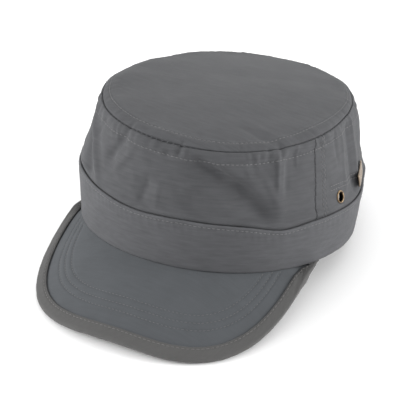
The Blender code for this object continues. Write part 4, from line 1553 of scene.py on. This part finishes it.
@dataclass
class PeakCloth:
    """The covered board with its rows of stitches, and the binding round its edge."""

    peak: Peak
    pieces: Pieces
    cloth: bpy.types.Material
    tape: bpy.types.Material
    thread: bpy.types.Material
    tape_thread: bpy.types.Material
    ripples: Ripples = field(default_factory=Ripples)
    columns: int = 330
    rows: int = 120
    # from the outermost edge of the binding, at the front
    rows_in: tuple = (0.0190, 0.0236, 0.0284)
    rows_beside: float = 0.86  # share of that at the sides
    row_eases: tuple = (0.35, 0.60)  # over how much of the peak, and until where
    groove: float = 0.00034
    groove_width: float = 0.0008
    end_squeeze: float = 0.62
    squeeze_from: float = 0.86
    squeeze_over: float = 0.12
    end_tuck: float = 0.0014
    tuck_from: float = 0.93
    tuck_over: float = 0.07
    slope: float = 1.22  # length of the sloping cloth for a length of its plan
    # depth, size and seed of the unevenness
    uneven: tuple = ((0.00016, 0.050, 31), (0.00004, 0.012, 32))
    inside: tuple = (-0.35, -0.7, -1.0)  # rows of the board that lie behind the band
    open_from: float = 0.0085  # where the cloth lies free of the binding, and over how much
    open_over: float = 0.004
    # how far the cloth swells between its rows, how far beyond the first and the last one
    # that goes, and over how much it sets in
    puff: tuple = (0.00012, 0.0005, 0.0015, 0.002)
    tape_columns: int = 420
    # rows of the tape on each of its flaps and round the edge
    tape_rows: tuple = (14, 16)
    tape_row: float = 0.0014
    # its puckers: length, sway in radians and radians of that for a metre
    tape_pitch: tuple = (0.0042, 1.4, 90.0)
    # depth, distance from the hem and half width of its puckers and of its turned hem
    tape_pucker: tuple = (0.00007, 0.0026, 0.0022)
    tape_hem: tuple = (0.00050, 0.0, 0.0015)
    tape_groove: tuple = (0.00016, 0.0006)  # depth and half width, along its row of stitches
    tape_wear: tuple = (0.8, 0.0016)  # strength and half width, along its outer edge
    tape_uneven: tuple = (0.00008, 0.012, 41)

    def squeeze(self, share: Array) -> Array:
        """Factor on the peak's depth, which thins both ends where they are sewn in."""
        return 1 - self.end_squeeze * smooth((np.abs(share) - self.squeeze_from) / self.squeeze_over)

    def tucked(self, points: Array, share: Array) -> Array:
        """Points of the peak with both ends drawn in under the band."""
        drawn = self.end_tuck * smooth((np.abs(share) - self.tuck_from) / self.tuck_over)
        return pushed_out(points, -drawn)

    def board(self) -> None:
        """The board under its cloth, and the stitches through both of its faces."""
        peak = self.peak
        share = np.linspace(-1, 1, self.columns)[None, :]
        outwards = np.concatenate([np.linspace(1, 0, self.rows), self.inside])[:, None]
        share, outwards = np.broadcast_arrays(share, outwards)
        base = peak.board(share, outwards)
        normals = grid_normals(base, False)
        edge = peak.to_rim(base) + peak.bound + peak.binding_turn
        over, until = self.row_eases
        ahead = smooth((until - np.abs(share)) / over)
        edge_row = edge / between(self.rows_beside, 1.0, ahead)
        x, y = base[..., 0], base[..., 1]
        open_cloth = smooth(outwards / 0.1) * smooth((edge - self.open_from) / self.open_over)
        depth = 0.0 * edge
        for deep, size, seed in self.uneven:
            depth += deep * self.ripples.uneven(x, y, size, seed) * open_cloth
        for row in self.rows_in:
            depth -= self.groove * bell(edge_row - row, self.groove_width) * open_cloth
        first, last = self.rows_in[0], self.rows_in[-1]
        deep, before, beyond, over = self.puff
        past = smooth((edge_row - first + before) / over)
        depth += deep * past * smooth((last + beyond - edge_row) / over) * open_cloth
        outer = self.tucked(base + normals * depth[..., None], share)
        flat = np.stack([x, y * self.slope], axis=-1)
        squeeze = self.squeeze(share[0])
        piece = self.pieces.shell(
            "peak_cloth", outer, peak.thickness, False, flat, self.cloth, squeeze=squeeze
        )
        outer = flattened(outer, squeeze)
        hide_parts("peak")
        normals = grid_normals(outer, False)
        shown = slice(0, self.rows)
        rows = []
        for face in Face:
            lift = 0.0 if face is Face.UPPER else -peak.thickness
            for row in self.rows_in:
                line, out = trace(outer[shown], normals[shown], edge_row[shown], row)
                rows.append((line + out * lift, out * face.value))
        stitch = Thread(pitch=0.0024, length=0.0017, radius=0.00019, rise=0.00010)
        sewn = stitch.sew(self.pieces, "peak_stitches", rows, self.thread)

    def binding(self) -> None:
        """The folded tape, puckered a little by its own stitches."""
        peak = self.peak
        share = np.linspace(-1, 1, self.tape_columns)
        flap = peak.binding_flap
        flap_rows, turn_rows = self.tape_rows
        above = np.linspace(0, flap, flap_rows)
        turn = np.linspace(flap, 1 - flap, turn_rows)[1:-1]
        rows = np.concatenate([above, turn, 1 - above[::-1]])[::-1]
        base = peak.binding(share, rows)
        normals = grid_normals(base, False)
        run = run_lengths(base, 0)
        back = run[-1] - run
        length = run_lengths(base, 1)
        middle = length[len(length) // 2]
        pitch, sway, slow = self.tape_pitch
        pulls = np.sin(middle * 2 * math.pi / pitch + sway * np.sin(middle * slow))
        groove, groove_width = self.tape_groove
        strips = (
            (pulls, *self.tape_pucker),
            (-1, groove, self.tape_row, groove_width),
            (-1, *self.tape_hem),
        )
        depth = 0.0 * run
        for inner in (run, back):
            for outwards, deep, start, width in strips:
                depth += deep * outwards * bell(inner - start, width)
        deep, size, seed = self.tape_uneven
        depth += deep * self.ripples.uneven(length, run, size, seed)
        outer = self.pieces.above(base + normals * depth[..., None], 0.0)
        outer = self.tucked(outer, share)
        flat = np.stack([run, length], axis=-1)
        strength, width = self.tape_wear
        wear_and_shade = strength * bell(run - run[-1] / 2, width)
        squeeze = self.squeeze(share)
        shape = ("peak_binding_tape", outer, peak.binding_cloth, False, flat)
        piece = self.pieces.shell(*shape, self.tape, wear_and_shade, squeeze=squeeze)
        outer = flattened(outer, squeeze)
        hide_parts("peak_binding")
        normals = grid_normals(outer, False)
        rows = [
            trace(outer, normals, run, self.tape_row),
            trace(outer, normals, -back, -self.tape_row),
        ]
        stitch = Thread(pitch=0.0028, length=0.0021, radius=0.00022)
        sewn = stitch.sew(self.pieces, "binding_stitches", rows, self.tape_thread)

    def build(self) -> None:
        """Make the board and its binding."""
        self.board()
        self.binding()


@dataclass
class Eyelets:
    """The two brass eyelets."""

    crown: Crown
    pieces: Pieces
    brass: bpy.types.Material
    angle: float = 76.5
    rise: float = 0.0080
    radius: float = 0.0040
    hole: float = 0.0030
    lip: float = 0.0007
    barrel: float = 0.0004  # how much wider than the hole the barrel is
    steps: int = 56
    lip_steps: int = 9
    aside: float = 0.5  # degrees to each side, and share of the wall up and down, at which
    upwards: float = 0.01  # its directions are read
    # where the painted shade darkens it towards the hole, and over how much, shares of half the
    # lip's width
    painted_shade: tuple = (0.4, 0.9)

    @classmethod
    def frame_at(
        cls, crown: Crown, angle: float, rise: float | None = None
    ) -> tuple[Array, Array, Array, Array]:
        """Place on the wall's face with its level, upright and outward directions.

        Args:
            crown: The crown.
            angle: Angle round the cap.
            rise: Height above the band's upper edge, the eyelets' own if left out.

        Returns:
            The place and the three directions.
        """
        rise = cls.rise if rise is None else rise
        low = crown.wall(np.array(angle), np.array(crown.band_share))
        high = crown.wall(np.array(angle), np.array(crown.turn_share))
        span = crown.turn_share - crown.band_share
        share = crown.band_share + span * rise / np.linalg.norm(high - low)
        places = crown.wall(
            angle + cls.aside * np.array((1, -1, 0, 0, 0)),
            share + cls.upwards * np.array((0, 0, 1, -1, 0)),
        )
        level = unit(places[0] - places[1])
        out = unit(np.cross(level, places[2] - places[3]))
        return places[4], level, np.cross(out, level), out

    def eyelet(self, name: str, angle: float) -> None:
        """A rolled eyelet: its section, a rounded lip outside and one inside, is turned.

        Args:
            name: Name of the solid it stands for.
            angle: Angle round the cap.
        """
        crown = self.crown
        gap, cloth, lip = crown.brow.gap, crown.cloth, self.lip
        middle, half = (self.radius + self.hole) / 2, (self.radius - self.hole) / 2
        turned = np.linspace(0, math.pi, self.lip_steps)
        outer_r, outer_z = middle - half * np.cos(turned), gap + lip * np.sin(turned)
        barrel = self.hole + self.barrel
        radii = np.concatenate([outer_r, [barrel, barrel], outer_r[::-1]])
        heights = np.concatenate([outer_z, [gap, -cloth - gap], -cloth - outer_z[::-1]])
        round_ = np.linspace(0, 2 * math.pi, self.steps, endpoint=False)
        centre, level, upright, out = self.frame_at(crown, angle)
        spokes = np.cos(round_)[:, None] * level + np.sin(round_)[:, None] * upright
        points = centre + radii[:, None, None] * spokes + heights[:, None, None] * out
        quads = grid_quads(len(radii), self.steps, True, True)
        flat = points.reshape(-1, 3)
        uv = flat[:, [0, 2]]
        start, over = self.painted_shade
        # Painted shade: the parts near the hole and inside it are darkened, standing in for the
        # shade within the hole.
        hidden = smooth((middle + half * start - radii) / (half * over)) * (heights < lip * 0.8)
        hidden = np.maximum(hidden, heights < 0)
        wear_and_shade = np.repeat(hidden.astype(float), self.steps)
        piece = self.pieces.add(name + "_ring", flat, [quads], [uv[quads]], self.brass, wear_and_shade)
        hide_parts(name)

    def build(self) -> None:
        """Make the two eyelets."""
        self.eyelet("eyelet_left", self.angle)
        self.eyelet("eyelet_right", 360 - self.angle)


@dataclass
class Bar:
    """The plain pierced bar, a nearly straight plate that lies against the round wall."""

    crown: Crown
    pieces: Pieces
    metal: bpy.types.Material
    angle: float = 98.5
    rise: float = 0.0105
    reach: float = 9.5  # degrees of wall, to each side, whose round it is compared with
    bent: float = 0.35  # share of the wall's round that it follows
    length: float = 0.0270
    height: float = 0.0085
    thickness: float = 0.0010
    stand_off: float = 0.0005
    slots: tuple = (-0.46, 0.0, 0.46)  # middles, as shares of half the length
    slot_half: tuple = (0.070, 0.52)  # half width and height, shares of the bar's halves
    drawn_in: float = 0.85  # how much of its height the ends lose
    roundness: int = 8  # power of its outline
    edge: float = 0.0003  # depth and width of the rounded edge
    # places along it, across it, and on the wall that it is compared with
    columns: int = 61
    rows: int = 17
    wall_columns: int = 25

    def build(self) -> None:
        """Make the bar, a strip along the wall, its height drawn in at the rounded ends.

        Its line has a share of the bend of the parabola nearest to the wall, and lies clear
        of the wall by half of what that leaves. Half the height is (1 - d s^p)^(1/p) of the
        full one, s being the share of half the length, d how far the ends are drawn in and
        p the roundness. The face falls back by a bell curve at the edges.
        """
        wide, tall = self.slot_half
        edges = [middle + side * wide for middle in self.slots for side in (-1, 1)]
        even = np.linspace(-1, 1, self.columns)
        along = np.unique(np.concatenate([even, edges]).round(4))[None, :]
        across = np.concatenate([np.linspace(-1, 1, self.rows), [-tall, tall]])
        up = np.unique(across.round(4))[:, None]
        centre, level, upright, out = Eyelets.frame_at(self.crown, self.angle, self.rise)
        angles = self.angle + self.reach * np.linspace(-1, 1, self.wall_columns)
        low = self.crown.wall(angles, 0 * angles + self.crown.band_share)
        high = self.crown.wall(angles, 0 * angles + self.crown.turn_share)
        span = np.linalg.norm(high - low, axis=-1, keepdims=True)
        away = between(low, high, self.rise / span) - centre
        bend = self.bent * np.polyfit(away @ level, away @ out, 2)
        clear = np.maximum(0.0, away @ out - np.polyval(bend, away @ level)).max()
        ends = (1 - self.drawn_in * along**self.roundness) ** (1 / self.roundness)
        reach = self.height / 2 * ends
        place = along * self.length / 2
        edge = np.minimum((1 - np.abs(along)) * self.length / 2, (1 - np.abs(up)) * self.height / 2)
        face = self.stand_off + self.thickness - self.edge * bell(edge, self.edge)
        forward = face + clear / 2 + np.polyval(bend, place)
        points = (
            centre
            + level * (place + 0 * up)[..., None]
            + upright * (reach * up)[..., None]
            + out * forward[..., None]
        )
        half = (along[0, :-1] + along[0, 1:]) / 2
        cut = np.any([np.abs(half - middle) < wide for middle in self.slots], axis=0)
        open_cells = (np.abs((up[:-1, 0] + up[1:, 0]) / 2) < tall)[:, None] & cut[None, :]
        flat = np.stack(np.broadcast_arrays(place, reach * up), axis=-1)
        piece = self.pieces.shell(
            "badge_bar", points, self.thickness, False, flat, self.metal, open_cells=open_cells
        )
        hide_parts("badge")


@dataclass(frozen=True)
class Lamp:
    """A soft square lamp, aimed at the cap."""

    name: str
    place: tuple[float, float, float]
    size: float
    power: float
    target: tuple[float, float, float] = (0.0, 0.0, 0.05)

    def build(self) -> None:
        """Add the lamp."""
        data = bpy.data.lights.new(self.name, "AREA")
        data.shape, data.size, data.energy = "SQUARE", self.size, self.power
        aim = Vector(self.target) - Vector(self.place)
        turned = aim.to_track_quat("-Z", "Y").to_matrix().to_4x4()
        put(self.name, data).matrix_world = Matrix.Translation(self.place) @ turned


@dataclass
class Studio:
    """A white table, soft light all round, and the camera."""

    placement: Array
    azimuth: float = 27.26
    elevation: float = 30.25
    distance: float = 0.713
    aside: float = -0.0169
    upwards: float = 0.0035
    view_angle: float = 21.12
    fitted_lean: float = 8.29
    table_size: float = 6.0
    sky: float = 1.00
    lamps: tuple = (
        Lamp("left_lamp", (-1.6, -0.9, 0.62), 1.0, 34.0),
        Lamp("right_lamp", (1.75, 0.62, 0.62), 1.0, 31.0),
        Lamp("back_lamp", (0.0, 1.7, 1.2), 1.2, 3.0),
    )

    def table(self) -> None:
        """A large plain table, pale and matt."""
        half = self.table_size / 2
        mesh = bpy.data.meshes.new("table")
        corners = [(-half, -half, 0), (half, -half, 0), (half, half, 0), (-half, half, 0)]
        mesh.from_pydata(corners, [], [(0, 1, 2, 3)])
        graph = Graph("table_white")
        graph.surface(
            Base_Color=(0.95, 0.95, 0.95, 1.0), Roughness=0.9, Specular_IOR_Level=0.1
        )
        mesh.materials.append(graph.material)
        table = put("table", mesh)

    def world(self) -> None:
        """Even white light from all round."""
        world = bpy.data.worlds.new("studio")
        world.use_nodes = True
        back = world.node_tree.nodes["Background"]
        back.inputs["Color"].default_value = (1.0, 1.0, 1.0, 1.0)
        back.inputs["Strength"].default_value = self.sky
        bpy.context.scene.world = world
        bpy.context.scene.view_settings.view_transform = "Standard"

    def camera(self) -> None:
        """The camera, placed from the cap's own frame and looking level with its axes."""
        side, high = math.radians(self.azimuth), math.radians(self.elevation)
        back = np.array(
            (math.sin(side) * math.cos(high), -math.cos(side) * math.cos(high), math.sin(high))
        )
        right = np.array((math.cos(side), math.sin(side), 0.0))
        upright = np.cross(back, right)
        place = back * self.distance + right * self.aside + upright * self.upwards
        turned = Matrix(np.column_stack([right, upright, back]).tolist()).to_4x4()
        data = bpy.data.cameras.new("camera")
        data.angle = math.radians(self.view_angle)
        data.clip_start, data.clip_end = 0.01, 50.0
        camera = put("camera", data)
        fitted = Matrix.Rotation(math.radians(self.fitted_lean), 4, "X")
        cap = Matrix(self.placement.tolist())
        camera.matrix_world = cap @ fitted @ Matrix.Translation(place.tolist()) @ turned
        bpy.context.scene.camera = camera

    def build(self) -> None:
        """Set up the table, the light and the camera."""
        self.table()
        self.world()
        self.camera()
        for lamp in self.lamps:
            lamp.build()


def main() -> None:
    """Build the cap over its solids, and the studio round it."""
    logging.basicConfig(level=logging.INFO, format="%(name)s %(message)s")
    brow = Brow()
    crown, peak = Crown(brow), Peak(brow)
    placement = peak.placement()
    pieces = Pieces(placement)
    cloth = ClothFinish("crown_cotton", (0.064, 0.065, 0.069)).material()
    # painted light: the band is the crown's own cloth, made lighter for the light that falls on its
    # front
    band_cloth = ClothFinish("band_cotton_painted_lighter", (0.075, 0.076, 0.081)).material()
    peak_cloth = ClothFinish(
        "peak_cotton", (0.069, 0.074, 0.080), streaks=0.22, bars=0.16
    ).material()
    tape = ClothFinish(
        "binding_cotton", (0.078, 0.077, 0.076), streaks=0.22, bars=0.14
    ).material()
    thread = ThreadFinish("grey_thread", (0.116, 0.116, 0.118)).material()
    peak_thread = ThreadFinish("peak_thread", (0.100, 0.102, 0.104)).material()
    tape_thread = ThreadFinish("tape_thread", (0.117, 0.114, 0.111)).material()
    brass = BrassFinish("old_brass", (0.46, 0.34, 0.20), (0.16, 0.11, 0.07)).material()
    metal = BrassFinish(
        "bar_brass", (0.36, 0.28, 0.20), (0.14, 0.11, 0.085), (0.30, 0.70)
    ).material()
    CrownCloth(crown, pieces, cloth, thread).build()
    BandCloth(brow, pieces, band_cloth, thread).build()
    PeakCloth(peak, pieces, peak_cloth, tape, peak_thread, tape_thread).build()
    Eyelets(crown, pieces, brass).build()
    Bar(crown, pieces, metal).build()
    Studio(placement).build()


if __name__ == "__main__":
    main()
